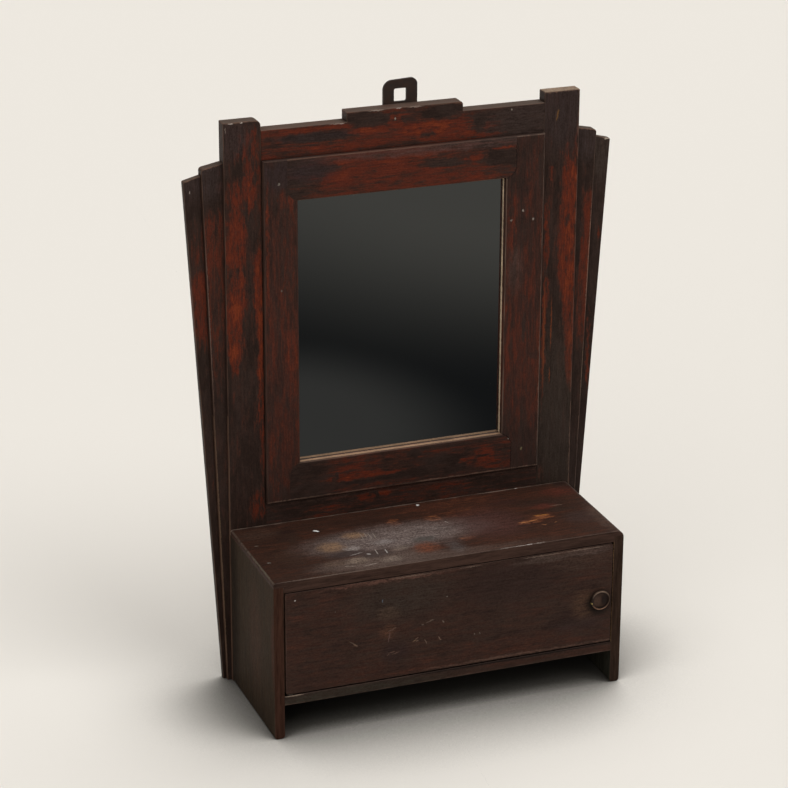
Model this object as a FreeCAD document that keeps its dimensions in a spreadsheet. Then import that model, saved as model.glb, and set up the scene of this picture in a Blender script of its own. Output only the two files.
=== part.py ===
import FreeCAD, Part
import math
import os

import Sketcher
from FreeCAD import Rotation, Vector

# A wooden dressing mirror: a stepped back of posts, rails and tapering wings holds a framed glass,
# and a storage box with a side-hung door stands in front of its foot.
# Frame: +Z up, front towards -Y, +X to the viewer's right, origin under the middle of the outer box.
# Every piece is drawn with Y = 0 on the front plane of the posts, then placed as one set.

# Driving sizes in millimetres
SIZES = {
    # storage box
    "box_width": 420,
    "box_depth": 154,
    "box_height": 191,
    "side_thickness": 12,
    "top_thickness": 13,
    "top_lap": 6,
    "bottom_thickness": 11.5,
    "foot_height": 40.5,
    "box_back_thickness": 5,
    "worn_corner": 9,
    "soft_corner": 3,
    "foot_round": 4,
    # door and what it turns on
    "door_thickness": 12,
    "door_gap": 1,
    "hinge_gap": 1.4,
    "door_corner": 4,
    "hinge_arris": 2,
    "pivot_inset": 6,
    "pivot_setback": 5,
    "pin_diameter": 3,
    "pin_seat": 7,
    "pin_bite": 14,
    "pin_clearance": 0.05,
    "washer_diameter": 8,
    "washer_clearance": 0.1,
    "stop_width": 8,
    "stop_depth": 12,
    "stop_clearance": 0.3,
    # pull on the door
    "pull_diameter": 23.5,
    "pull_proud": 2.5,
    "pull_rim": 2.2,
    "pull_rim_round": 0.9,
    "pull_dish": 1.8,
    "pull_boss": 10,
    "pull_boss_depth": 8,
    "pull_inset": 15.3,
    "pull_height": 55,
    "pull_screw_diameter": 4,
    "pull_screw_head": 8,
    "pull_screw_head_height": 2.4,
    "pull_screw_bite": 5,
    # upright back
    "post_width": 43,
    "post_thickness": 16,
    "post_height": 668,
    "post_top_round": 1.6,
    "left_post_round": 7,
    "top_rail_drop": 12,
    "top_rail_width": 33.6,
    "crest_width": 137,
    "crest_rise": 11,
    "crest_round": 4,
    "lower_rail_show": 26.6,
    "lower_rail_width": 70,
    "rail_tenon_length": 25,
    "rail_tenon_thickness": 6,
    "rail_tenon_inset": 5,
    "tenon_clearance": 0.15,
    "arris": 1,
    # stepped wings
    "wing_step": 4.5,
    "inner_wing_drop": 46,
    "inner_wing_top": 24,
    "inner_wing_foot": 5,
    "inner_wing_fall": 4.7,
    "outer_wing_drop": 59,
    "outer_wing_top": 19.3,
    "outer_wing_foot": 3.8,
    "outer_wing_fall": 5,
    "inner_wing_round": 4,
    "outer_wing_round": 2,
    # mirror frame, glass and its backing
    "frame_gap": 0.4,
    "frame_proud": 5,
    "frame_arris": 1.8,
    "left_stile_width": 39.5,
    "right_stile_width": 46.5,
    "frame_top_width": 48,
    "frame_bottom_width": 46,
    "scribe_width": 12,
    "scribe_radius": 16,
    "rebate_width": 8,
    "glass_set": 9,
    "glass_thickness": 4,
    "glass_clearance": 1,
    "back_board_thickness": 4,
    "frame_tenon_length": 18,
    "frame_tenon_thickness": 7,
    "frame_tenon_inset": 6,
    # hanger plate
    "hanger_width": 40,
    "hanger_reach": 28,
    "hanger_tail": 42,
    "hanger_thickness": 3.5,
    "hanger_corner": 7,
    "hanger_shoulder": 11,
    "hanger_slope": 2,
    "hanger_hole_width": 15,
    "hanger_hole_height": 15,
    "hanger_hole_rise": 2,
    "hanger_hole_round": 2,
    "hanger_screw_spread": 22,
    "hanger_screw_drop": 14,
    "hanger_screw_row": 20,
    "hanger_screw_diameter": 3.5,
    "hanger_screw_head": 7,
    "hanger_screw_length": 14,
    # nails, brads and case screws
    "fastener_clearance": 0.05,
    "nail_diameter": 2.5,
    "nail_set": 1.5,
    "nail_bite": 25,
    "nail_margin": 30,
    "brad_diameter": 2,
    "brad_set": 0.6,
    "brad_bite": 20,
    "brad_first": 60,
    "brad_margin": 64,
    "sprig_diameter": 1.5,
    "sprig_hold": 8,
    "sprig_margin": 40,
    "case_screw_diameter": 4,
    "case_screw_head": 8,
    "case_screw_bite": 30,
    "case_screw_first": 30,
    "case_screw_margin": 14,
}

document = FreeCAD.newDocument("dressing_mirror")
sheet = document.addObject("Spreadsheet::Sheet", "Sizes")
for row, (alias, size) in enumerate(SIZES.items(), start=1):
    sheet.set(f"A{row}", alias.replace("_", " "))
    sheet.set(f"B{row}", str(size))
    sheet.setAlias(f"B{row}", alias)
document.recompute()


def size_of(words):
    """A sheet expression from plain words: every name of a size gets its sheet's name in front."""
    return " ".join(f"Sizes.{word}" if word in SIZES else word for word in words.split())


# Planes and edges that several pieces share, as sheet expressions
HALF_BOX = size_of("( box_width / 2 )")
BOX_INSIDE = size_of("( box_width / 2 - side_thickness )")
BOX_FRONT = size_of("( - box_depth )")
BOX_TOP = size_of("box_height")
SIDE_TOP = size_of("( box_height - top_lap )")
CEILING = size_of("( box_height - top_thickness )")
FLOOR = size_of("( foot_height + bottom_thickness )")
BACK = size_of("post_thickness")
OPENING_SIDE = size_of("( box_width / 2 - post_width )")
RAIL_TOP = size_of("( post_height - top_rail_drop )")
CREST_TOP = f"( {RAIL_TOP} + Sizes.crest_rise )"
OPENING_TOP = f"( {RAIL_TOP} - Sizes.top_rail_width )"
OPENING_BOTTOM = size_of("( box_height + lower_rail_show )")
LOWER_RAIL_BOTTOM = f"( {OPENING_BOTTOM} - Sizes.lower_rail_width )"
FRAME_SIDE = f"( {OPENING_SIDE} - Sizes.frame_gap )"
FRAME_TOP = f"( {OPENING_TOP} - Sizes.frame_gap )"
FRAME_BOTTOM = f"( {OPENING_BOTTOM} + Sizes.frame_gap )"
FRAME_FRONT = size_of("( - frame_proud )")
SIGHT_LEFT = f"( Sizes.left_stile_width - {FRAME_SIDE} )"
SIGHT_RIGHT = f"( {FRAME_SIDE} - Sizes.right_stile_width )"
SIGHT_TOP = f"( {FRAME_TOP} - Sizes.frame_top_width )"
SIGHT_BOTTOM = f"( {FRAME_BOTTOM} + Sizes.frame_bottom_width )"
GLASS_FRONT = size_of("( glass_set - frame_proud )")
BOARD_FRONT = f"( {GLASS_FRONT} + Sizes.glass_thickness )"
BOARD_BACK = f"( {BOARD_FRONT} + Sizes.back_board_thickness )"
DOOR_LEFT = f"( Sizes.hinge_gap - {BOX_INSIDE} )"
DOOR_RIGHT = f"( {BOX_INSIDE} - Sizes.door_gap )"
DOOR_BOTTOM = f"( {FLOOR} + Sizes.door_gap )"
DOOR_TOP = f"( {CEILING} - Sizes.door_gap )"
DOOR_BACK = size_of("( door_thickness - box_depth )")
PIVOT_X = f"( {DOOR_LEFT} + Sizes.pivot_inset )"
PIVOT_Y = size_of("( pivot_setback - box_depth )")
PULL_X = f"( {BOX_INSIDE} - Sizes.pull_inset )"
PULL_Z = f"( {DOOR_BOTTOM} + Sizes.pull_height )"
# The front plane of the posts, measured from the middle of the whole depth
POST_FRONT = size_of("( ( pull_proud + box_depth - post_thickness - hanger_thickness ) / 2 )")

ALONG = {
    "x": Rotation(Vector(0, 0, 1), Vector(1, 0, 0)),
    "y": Rotation(Vector(0, 0, 1), Vector(0, 1, 0)),
    "z": Rotation(),
}
TOUCH = 1e-6
pieces = []


def value(expression):
    """What a sheet expression comes to."""
    return sheet.evalExpression(expression)


def flip(side, expression):
    """An expression for X measured outwards on one side: -1 is the left, 1 the right."""
    return f"( {side} * {expression} )"


def new_piece(kind, name):
    """A sub-part of its own, placed with the rest of the set."""
    piece = document.addObject(kind, name)
    piece.Label = name
    piece.setExpression("Placement.Base.y", POST_FRONT)
    pieces.append(piece)
    return piece


def front_sketch(body, name, start):
    """An empty sketch in the front view, on the plane Y = start."""
    sketch = body.newObject("Sketcher::SketchObject", name)
    front_view = next(plane for plane in body.Origin.OriginFeatures if plane.Role == "XZ_Plane")
    sketch.AttachmentSupport = [(front_view, "")]
    sketch.MapMode = "FlatFace"
    sketch.setExpression("AttachmentOffset.Base.z", f"- ( {start} )")
    return sketch


def hold(sketch, kind, places, expression):
    """A size constraint of a sketch, tied to the sheet."""
    number = sketch.addConstraint(Sketcher.Constraint(kind, *places, value(expression)))
    sketch.setExpression(f"Constraints[{number}]", expression)


def arc_between(first, last, radius, inner):
    """The shorter arc between two points whose centre lies on the same side as the inner point."""
    middle = (first + last) / 2
    half = (last - first).Length / 2
    across = (last - first).cross(Vector(0, 0, 1)).normalize()
    if across.dot(inner - middle) > 0:
        across = -across
    rise = radius - math.sqrt(radius ** 2 - half ** 2)
    return Part.Arc(first, middle + across * rise, last)


def draw(body, name, corners, start):
    """A closed outline in the front view. A corner is (x, z), or (x, z, radius, inner point) where an
    arc leaves it towards the next corner, with its centre on the inner point's side."""
    sketch = front_sketch(body, name, start)
    points = [Vector(value(corner[0]), value(corner[1]), 0) for corner in corners]
    ends = []
    for index, corner in enumerate(corners):
        following = points[(index + 1) % len(points)]
        if len(corner) == 2:
            sketch.addGeometry(Part.LineSegment(points[index], following), False)
        else:
            inner = Vector(value(corner[3][0]), value(corner[3][1]), 0)
            sketch.addGeometry(arc_between(points[index], following, value(corner[2]), inner), False)
        forward = sketch.getPoint(index, 1).distanceToPoint(points[index]) < TOUCH
        ends.append((1, 2) if forward else (2, 1))
    for index in range(len(points)):
        following = (index + 1) % len(points)
        joint = (index, ends[index][1], following, ends[following][0])
        sketch.addConstraint(Sketcher.Constraint("Coincident", *joint))
    for index, corner in enumerate(corners):
        hold(sketch, "DistanceX", (-1, 1, index, ends[index][0]), corner[0])
        hold(sketch, "DistanceY", (-1, 1, index, ends[index][0]), corner[1])
        if len(corner) > 2:
            hold(sketch, "Radius", (index,), corner[2])
    return sketch


def board(name, corners, front, back):
    """A board with an outline in the front view, from one Y to another."""
    body = new_piece("PartDesign::Body", name)
    pad = body.newObject("PartDesign::Pad", "Board")
    pad.Profile = draw(body, "Outline", corners, front)
    pad.setExpression("Length", f"{back} - ( {front} )")
    pad.Reversed = True
    document.recompute()
    return body


def rectangle(left, right, bottom, top):
    return [(left, bottom), (right, bottom), (right, top), (left, top)]


def block(body, kind, name, low, high):
    """An AdditiveBox or SubtractiveBox on a body, between two corners."""
    feature = body.newObject(f"PartDesign::{kind}", name)
    for axis, length, start, end in zip("xyz", ("Length", "Width", "Height"), low, high):
        feature.setExpression(f"Placement.Base.{axis}", start)
        feature.setExpression(length, f"{end} - ( {start} )")
    document.recompute()
    return feature


def bore(body, name, axis, centre, diameter, length):
    """A round hole along +axis that starts at centre."""
    hole = body.newObject("PartDesign::SubtractiveCylinder", name)
    hole.Placement.Rotation = ALONG[axis]
    for letter, expression in zip("xyz", centre):
        hole.setExpression(f"Placement.Base.{letter}", expression)
    hole.setExpression("Radius", f"( {diameter} ) / 2")
    hole.setExpression("Height", length)
    before = body.Shape.Volume
    document.recompute()
    if body.Shape.Volume > before - TOUCH:
        raise RuntimeError(f"{name} cuts nothing")
    return hole


def round_edges(body, name, radius, chosen):
    """Round the edges of a body that the test picks from their middle point and direction."""
    base = body.Tip
    picked = []
    for number, edge in enumerate(base.Shape.Edges, start=1):
        if len(edge.Vertexes) == 2:
            middle = edge.valueAt((edge.FirstParameter + edge.LastParameter) / 2)
            run = edge.Vertexes[1].Point - edge.Vertexes[0].Point
            if chosen(middle, run):
                picked.append(f"Edge{number}")
    if not picked:
        raise RuntimeError(f"{name} finds no edge")
    rounding = body.newObject("PartDesign::Fillet", name)
    rounding.Base = (base, picked)
    rounding.setExpression("Radius", radius)
    document.recompute()
    return rounding


def near(number, expression):
    return abs(number - value(expression)) < TOUCH


def rod(name, axis, start, diameter, length):
    """A plain round bar along +axis."""
    bar = document.addObject("Part::Cylinder", name)
    bar.Placement.Rotation = ALONG[axis]
    for letter, expression in zip("xyz", start):
        bar.setExpression(f"Placement.Base.{letter}", expression)
    bar.setExpression("Radius", f"( {diameter} ) / 2")
    bar.setExpression("Height", length)
    return bar


def countersunk_screw(name, start, diameter, head, length):
    """A wood screw driven from the back towards the front, with its flat head at the start point."""
    tip = (start[0], f"{start[1]} - ( {length} )", start[2])
    shank = rod(f"{name}_shank", "y", tip, diameter, length)
    cone = document.addObject("Part::Cone", f"{name}_head")
    cone.Placement.Rotation = ALONG["y"]
    depth = f"( ( {head} ) - ( {diameter} ) ) / 2"
    for letter, expression in zip("xyz", (start[0], f"{start[1]} - {depth}", start[2])):
        cone.setExpression(f"Placement.Base.{letter}", expression)
    cone.setExpression("Radius1", f"( {diameter} ) / 2")
    cone.setExpression("Radius2", f"( {head} ) / 2")
    cone.setExpression("Height", depth)
    screw = document.addObject("Part::Fuse", name)
    screw.Base = shank
    screw.Tool = cone
    return screw


def countersink(body, name, start, diameter, head):
    """The conical seat of a screw head that is driven from the back."""
    seat = body.newObject("PartDesign::SubtractiveCone", name)
    seat.Placement.Rotation = ALONG["y"]
    clearance = "Sizes.fastener_clearance"
    depth = f"( ( {head} ) - ( {diameter} ) ) / 2"
    for letter, expression in zip("xyz", (start[0], f"{start[1]} - {depth}", start[2])):
        seat.setExpression(f"Placement.Base.{letter}", expression)
    seat.setExpression("Radius1", f"( {diameter} ) / 2 + {clearance}")
    seat.setExpression("Radius2", f"( {head} ) / 2 + {clearance}")
    seat.setExpression("Height", depth)
    document.recompute()


def group(name, members):
    """Like fasteners kept together as one node of separate solids."""
    bundle = new_piece("Part::Compound", name)
    bundle.Links = members
    return bundle


def loose(diameter):
    """The hole for a fastener of this diameter."""
    return f"{diameter} + 2 * Sizes.fastener_clearance"


def row_of_three(first, last):
    """Two end places and the one half-way between them."""
    return [first, f"( ( {first} + {last} ) / 2 )", last]


# Places of the fasteners, shared by the fasteners and the holes they sit in
OUTER_TIP = size_of("( post_height - outer_wing_drop - outer_wing_fall )")
BRAD_HEIGHTS = row_of_three("Sizes.brad_first", f"( {OUTER_TIP} - Sizes.brad_margin )")
CASE_SCREW_HEIGHTS = row_of_three(
    "Sizes.case_screw_first",
    f"( {SIDE_TOP} - Sizes.nail_bite - Sizes.case_screw_margin )",
)
NAIL_ROWS = row_of_three(size_of("( nail_margin - box_depth )"), size_of("( - nail_margin )"))
BOTTOM_MIDDLE = size_of("( foot_height + bottom_thickness / 2 )")
SIDE_MIDDLE = size_of("( ( box_width - side_thickness ) / 2 )")
BRAD_Y = size_of("( wing_step + post_thickness / 2 )")
HANGER_SCREW_PLACES = [
    (size_of("( - hanger_screw_spread / 2 )"), f"( {CREST_TOP} - Sizes.hanger_screw_drop )"),
    (size_of("( hanger_screw_spread / 2 )"), f"( {CREST_TOP} - Sizes.hanger_screw_drop )"),
    ("0", f"( {CREST_TOP} - Sizes.hanger_screw_drop - Sizes.hanger_screw_row )"),
]
SPRIG_Y = f"( {BOARD_BACK} + Sizes.sprig_diameter / 2 + Sizes.fastener_clearance )"

# Upright back: posts, rails and their tenons


def tenon_box(side, bottom, top, clearance):
    """Corners of a rail's tenon in one post, or of its mortise when the clearance isn't nil."""
    shoulder = flip(side, OPENING_SIDE)
    reach = flip(side, f"( {OPENING_SIDE} + Sizes.rail_tenon_length + 2 * {clearance} )")
    ends = sorted((shoulder, reach), key=value)
    middle = size_of("post_thickness / 2")
    half = f"( Sizes.rail_tenon_thickness / 2 + {clearance} )"
    low = (ends[0], f"{middle} - {half}", f"{bottom} + Sizes.rail_tenon_inset - {clearance}")
    high = (ends[1], f"{middle} + {half}", f"{top} - Sizes.rail_tenon_inset + {clearance}")
    return low, high


def post(name, side):
    """One upright, floor to top: mortised for both rails, bored for the brads and the case screws."""
    inner = flip(side, OPENING_SIDE)
    outer = flip(side, HALF_BOX)
    left, right = sorted((inner, outer), key=value)
    body = board(name, rectangle(left, right, "0", "Sizes.post_height"), "0", BACK)
    clearance = "Sizes.tenon_clearance"
    top_mortise = tenon_box(side, OPENING_TOP, RAIL_TOP, clearance)
    block(body, "SubtractiveBox", "TopMortise", *top_mortise)
    lower_mortise = tenon_box(side, LOWER_RAIL_BOTTOM, OPENING_BOTTOM, clearance)
    block(body, "SubtractiveBox", "LowerMortise", *lower_mortise)
    bite = size_of("brad_bite")
    start = outer if side < 0 else f"( {outer} - {bite} )"
    for number, height in enumerate(BRAD_HEIGHTS):
        bore(body, f"Brad{number}", "x", (start, BRAD_Y, height), loose("Sizes.brad_diameter"), bite)
    for number, height in enumerate(CASE_SCREW_HEIGHTS):
        place = (flip(side, SIDE_MIDDLE), BACK, height)
        through = (place[0], "0", height)
        bore(body, f"Screw{number}", "y", through, loose("Sizes.case_screw_diameter"), BACK)
        countersink(body, f"Seat{number}", place, "Sizes.case_screw_diameter", "Sizes.case_screw_head")
    if side < 0:
        round_edges(body, "WornCorner", "Sizes.left_post_round",
                    lambda middle, run: near(middle.z, "Sizes.post_height") and near(middle.x, inner))
    round_edges(body, "TopRound", "Sizes.post_top_round",
                lambda middle, run: near(middle.z, "Sizes.post_height") and abs(run.x) > TOUCH)
    round_edges(body, "Arris", "Sizes.arris",
                lambda middle, run: near(middle.y, "0") and abs(run.z) > abs(run.x))


def rail(name, outline, bottom, top):
    """A board between the posts with a tenon at each end."""
    body = board(name, outline, "0", BACK)
    for side, word in ((-1, "Left"), (1, "Right")):
        block(body, "AdditiveBox", f"{word}Tenon", *tenon_box(side, bottom, top, "0"))
    return body


def top_rail():
    """The rail above the mirror: a raised step is left in the middle, its right corner worn round."""
    half_crest = size_of("( crest_width / 2 )")
    outline = [
        (flip(-1, OPENING_SIDE), OPENING_TOP),
        (flip(1, OPENING_SIDE), OPENING_TOP),
        (flip(1, OPENING_SIDE), RAIL_TOP),
        (half_crest, RAIL_TOP),
        (half_crest, CREST_TOP),
        (flip(-1, half_crest), CREST_TOP),
        (flip(-1, half_crest), RAIL_TOP),
        (flip(-1, OPENING_SIDE), RAIL_TOP),
    ]
    body = rail("top_rail", outline, OPENING_TOP, RAIL_TOP)
    depth = size_of("( hanger_screw_length - hanger_thickness )")
    for number, (x, z) in enumerate(HANGER_SCREW_PLACES):
        start = (x, f"{BACK} - {depth}", z)
        bore(body, f"Screw{number}", "y", start, loose("Sizes.hanger_screw_diameter"), depth)
    round_edges(body, "CrestRound", "Sizes.crest_round",
                lambda middle, run: near(middle.x, half_crest) and near(middle.z, CREST_TOP))
    round_edges(body, "Arris", "Sizes.arris",
                lambda middle, run: near(middle.y, "0") and middle.z > value(RAIL_TOP) - TOUCH)


post("left_post", -1)
post("right_post", 1)
top_rail()
rail(
    "lower_rail",
    rectangle(flip(-1, OPENING_SIDE), flip(1, OPENING_SIDE), LOWER_RAIL_BOTTOM, OPENING_BOTTOM),
    LOWER_RAIL_BOTTOM,
    OPENING_BOTTOM,
)

# Stepped wings: two tapering boards fan out from each post, each set back behind the one inside it

INNER_FRONT = size_of("wing_step")
OUTER_FRONT = size_of("( 2 * wing_step )")
INNER_HEIGHT = size_of("( post_height - inner_wing_drop )")
INNER_TIP = f"( {INNER_HEIGHT} - Sizes.inner_wing_fall )"
OUTER_HEIGHT = size_of("( post_height - outer_wing_drop )")
INNER_FOOT = f"( {HALF_BOX} + Sizes.inner_wing_foot )"
OUTER_FOOT = f"( {INNER_FOOT} + Sizes.outer_wing_foot )"
INNER_REACH = f"( {HALF_BOX} + Sizes.inner_wing_top )"
OUTER_REACH = f"( {INNER_REACH} + Sizes.outer_wing_top )"


def inner_edge(height):
    """How far out the inner wing's slanting edge stands at a height."""
    return f"( {INNER_FOOT} + ( {INNER_REACH} - {INNER_FOOT} ) * {height} / {INNER_TIP} )"


def outer_edge(height):
    return f"( {OUTER_FOOT} + ( {OUTER_REACH} - {OUTER_FOOT} ) * {height} / {OUTER_TIP} )"


def brad_end(height):
    """A brad's outer end: it is driven below the surface, and the hole over it is stopped."""
    return f"( {outer_edge(height)} - Sizes.brad_set )"


def wing(name, side, outline, front, hole_end, tip_round):
    """One tapering board, bored for the brads, its outer top corner and front arris worn round."""
    body = board(name, [(flip(side, x), z) for x, z in outline], front, BACK)
    for number, height in enumerate(BRAD_HEIGHTS):
        reach = hole_end(height)
        length = f"( {reach} - {HALF_BOX} )"
        start = flip(-1, reach) if side < 0 else HALF_BOX
        bore(body, f"Brad{number}", "x", (start, BRAD_Y, height), loose("Sizes.brad_diameter"), length)
    tip_x, tip_z = outline[2]
    round_edges(body, "TipRound", tip_round,
                lambda middle, run: near(middle.x, flip(side, tip_x)) and near(middle.z, tip_z))
    round_edges(body, "Arris", "Sizes.arris",
                lambda middle, run: near(middle.y, front) and abs(middle.x) > value(HALF_BOX) + TOUCH
                and middle.z > TOUCH)


for side, word in ((-1, "left"), (1, "right")):
    inner_outline = [
        (HALF_BOX, "0"),
        (HALF_BOX, INNER_HEIGHT),
        (INNER_REACH, INNER_TIP),
        (INNER_FOOT, "0"),
    ]
    outer_outline = [
        (INNER_FOOT, "0"),
        (inner_edge(OUTER_HEIGHT), OUTER_HEIGHT),
        (OUTER_REACH, OUTER_TIP),
        (OUTER_FOOT, "0"),
    ]
    wing(f"{word}_inner_wing", side, inner_outline, INNER_FRONT, outer_edge, "Sizes.inner_wing_round")
    wing(f"{word}_outer_wing", side, outer_outline, OUTER_FRONT, brad_end, "Sizes.outer_wing_round")

brads = []
for side, word in ((-1, "Left"), (1, "Right")):
    for number, height in enumerate(BRAD_HEIGHTS):
        outer = brad_end(height)
        inner = f"( {HALF_BOX} - Sizes.brad_bite )"
        start = flip(-1, outer) if side < 0 else inner
        name = f"{word}Brad{number}"
        brads.append(rod(name, "x", (start, BRAD_Y, height), "Sizes.brad_diameter", f"{outer} - {inner}"))
group("wing_brads", brads)

# Mirror frame: rails with rounded ends, stiles scribed to them, tenons, and one rebate all round

SHOULDER_LEFT = f"( {SIGHT_LEFT} - Sizes.scribe_width )"
SHOULDER_RIGHT = f"( {SIGHT_RIGHT} + Sizes.scribe_width )"
SHOULDER_TOP = f"( {SIGHT_TOP} + Sizes.scribe_width )"
SHOULDER_BOTTOM = f"( {SIGHT_BOTTOM} - Sizes.scribe_width )"
REBATE_LOW = (f"{SIGHT_LEFT} - Sizes.rebate_width", GLASS_FRONT, f"{SIGHT_BOTTOM} - Sizes.rebate_width")
REBATE_HIGH = (f"{SIGHT_RIGHT} + Sizes.rebate_width", BACK, f"{SIGHT_TOP} + Sizes.rebate_width")
STILE_EDGES = {
    -1: (flip(-1, FRAME_SIDE), SHOULDER_LEFT, SIGHT_LEFT),
    1: (FRAME_SIDE, SHOULDER_RIGHT, SIGHT_RIGHT),
}
RAIL_EDGES = {
    -1: (FRAME_BOTTOM, SHOULDER_BOTTOM, SIGHT_BOTTOM),
    1: (FRAME_TOP, SHOULDER_TOP, SIGHT_TOP),
}
SPRIG_HEIGHTS = row_of_three(
    f"( {SIGHT_BOTTOM} + Sizes.sprig_margin )",
    f"( {SIGHT_TOP} - Sizes.sprig_margin )",
)
SPRIG_ACROSS = [f"( {SIGHT_LEFT} + Sizes.sprig_margin )", f"( {SIGHT_RIGHT} - Sizes.sprig_margin )"]
REBATE_WALLS = {
    ("x", -1): REBATE_LOW[0],
    ("x", 1): REBATE_HIGH[0],
    ("z", -1): REBATE_LOW[2],
    ("z", 1): REBATE_HIGH[2],
}
SPRIGS = [("x", side, (None, height)) for side in (-1, 1) for height in SPRIG_HEIGHTS]
SPRIGS += [("z", side, (across, None)) for side in (-1, 1) for across in SPRIG_ACROSS]


def sprig_start(axis, side, place):
    """Where a glazing brad's lower end lies: half in the frame's wood, half over the backing board."""
    end = f"( {REBATE_WALLS[axis, side]} - Sizes.sprig_hold )"
    return (end, SPRIG_Y, place[1]) if axis == "x" else (place[0], SPRIG_Y, end)


def sprig_holes(body, axis, side):
    for number, (sprig_axis, sprig_side, place) in enumerate(SPRIGS):
        if (sprig_axis, sprig_side) == (axis, side):
            start = sprig_start(axis, side, place)
            bore(body, f"Sprig{number}", axis, start, loose("Sizes.sprig_diameter"), "2 * Sizes.sprig_hold")


def frame_tenon(side, level, clearance):
    """Corners of one tenon of a frame rail, or of its mortise when the clearance isn't nil."""
    shoulder = STILE_EDGES[side][1]
    reach = f"( {shoulder} + {side} * ( Sizes.frame_tenon_length + 2 * {clearance} ) )"
    x = sorted((shoulder, reach), key=value)
    z = sorted((RAIL_EDGES[level][0], RAIL_EDGES[level][1]), key=value)
    tenon_back = f"( {GLASS_FRONT} + Sizes.frame_tenon_thickness )"
    inset = "Sizes.frame_tenon_inset"
    low = (x[0], f"{GLASS_FRONT} - {clearance}", f"{z[0]} + {inset} - {clearance}")
    high = (x[1], f"{tenon_back} + {clearance}", f"{z[1]} - {inset} + {clearance}")
    return low, high


def worn_front(body, edges):
    """Round the front edges that lie on the named outer and sight lines, given as (axis, expression)."""
    round_edges(body, "Arris", "Sizes.frame_arris",
                lambda middle, run: near(middle.y, FRAME_FRONT)
                and any(near(getattr(middle, axis), line) for axis, line in edges))


def stile(name, side):
    """A full-height upright of the mirror frame, scribed to the rails, with two blind mortises."""
    outer, shoulder, sight = STILE_EDGES[side]
    outline = [
        (outer, FRAME_BOTTOM),
        (shoulder, FRAME_BOTTOM),
        (shoulder, SHOULDER_BOTTOM, "Sizes.scribe_radius", (sight, SHOULDER_BOTTOM)),
        (sight, SIGHT_BOTTOM),
        (sight, SIGHT_TOP, "Sizes.scribe_radius", (sight, SHOULDER_TOP)),
        (shoulder, SHOULDER_TOP),
        (shoulder, FRAME_TOP),
        (outer, FRAME_TOP),
    ]
    body = board(name, outline, FRAME_FRONT, BACK)
    block(body, "SubtractiveBox", "Rebate", REBATE_LOW, REBATE_HIGH)
    for level, word in ((-1, "Lower"), (1, "Upper")):
        block(body, "SubtractiveBox", f"{word}Mortise", *frame_tenon(side, level, "Sizes.tenon_clearance"))
    sprig_holes(body, "x", side)
    worn_front(body, [("x", outer), ("x", sight), ("z", FRAME_TOP), ("z", FRAME_BOTTOM)])


def frame_rail(name, level):
    """A cross member of the mirror frame: rounded ends that the stiles are scribed to, and two tenons."""
    outer, shoulder, sight = RAIL_EDGES[level]
    outline = [
        (SHOULDER_LEFT, outer),
        (SHOULDER_LEFT, shoulder, "Sizes.scribe_radius", (SIGHT_LEFT, shoulder)),
        (SIGHT_LEFT, sight),
        (SIGHT_RIGHT, sight, "Sizes.scribe_radius", (SIGHT_RIGHT, shoulder)),
        (SHOULDER_RIGHT, shoulder),
        (SHOULDER_RIGHT, outer),
    ]
    body = board(name, outline, FRAME_FRONT, BACK)
    block(body, "SubtractiveBox", "Rebate", REBATE_LOW, REBATE_HIGH)
    for side, word in ((-1, "Left"), (1, "Right")):
        block(body, "AdditiveBox", f"{word}Tenon", *frame_tenon(side, level, "0"))
    sprig_holes(body, "z", level)
    worn_front(body, [("z", outer), ("z", sight)])


stile("frame_left_stile", -1)
stile("frame_right_stile", 1)
frame_rail("frame_top_rail", 1)
frame_rail("frame_bottom_rail", -1)

margin = "Sizes.glass_clearance"
PANE = rectangle(
    f"{REBATE_LOW[0]} + {margin}",
    f"{REBATE_HIGH[0]} - {margin}",
    f"{REBATE_LOW[2]} + {margin}",
    f"{REBATE_HIGH[2]} - {margin}",
)
board("mirror_glass", PANE, GLASS_FRONT, BOARD_FRONT)
board("mirror_back_board", PANE, BOARD_FRONT, BOARD_BACK)
sprigs = []
for number, (axis, side, place) in enumerate(SPRIGS):
    start = sprig_start(axis, side, place)
    sprigs.append(rod(f"GlazingBrad{number}", axis, start, "Sizes.sprig_diameter", "2 * Sizes.sprig_hold"))
group("glazing_brads", sprigs)

# Hanger plate on the back of the crest, with its screws

HANGER_BACK = size_of("( post_thickness + hanger_thickness )")
HANGER_TOP = f"( {CREST_TOP} + Sizes.hanger_reach )"


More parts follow.
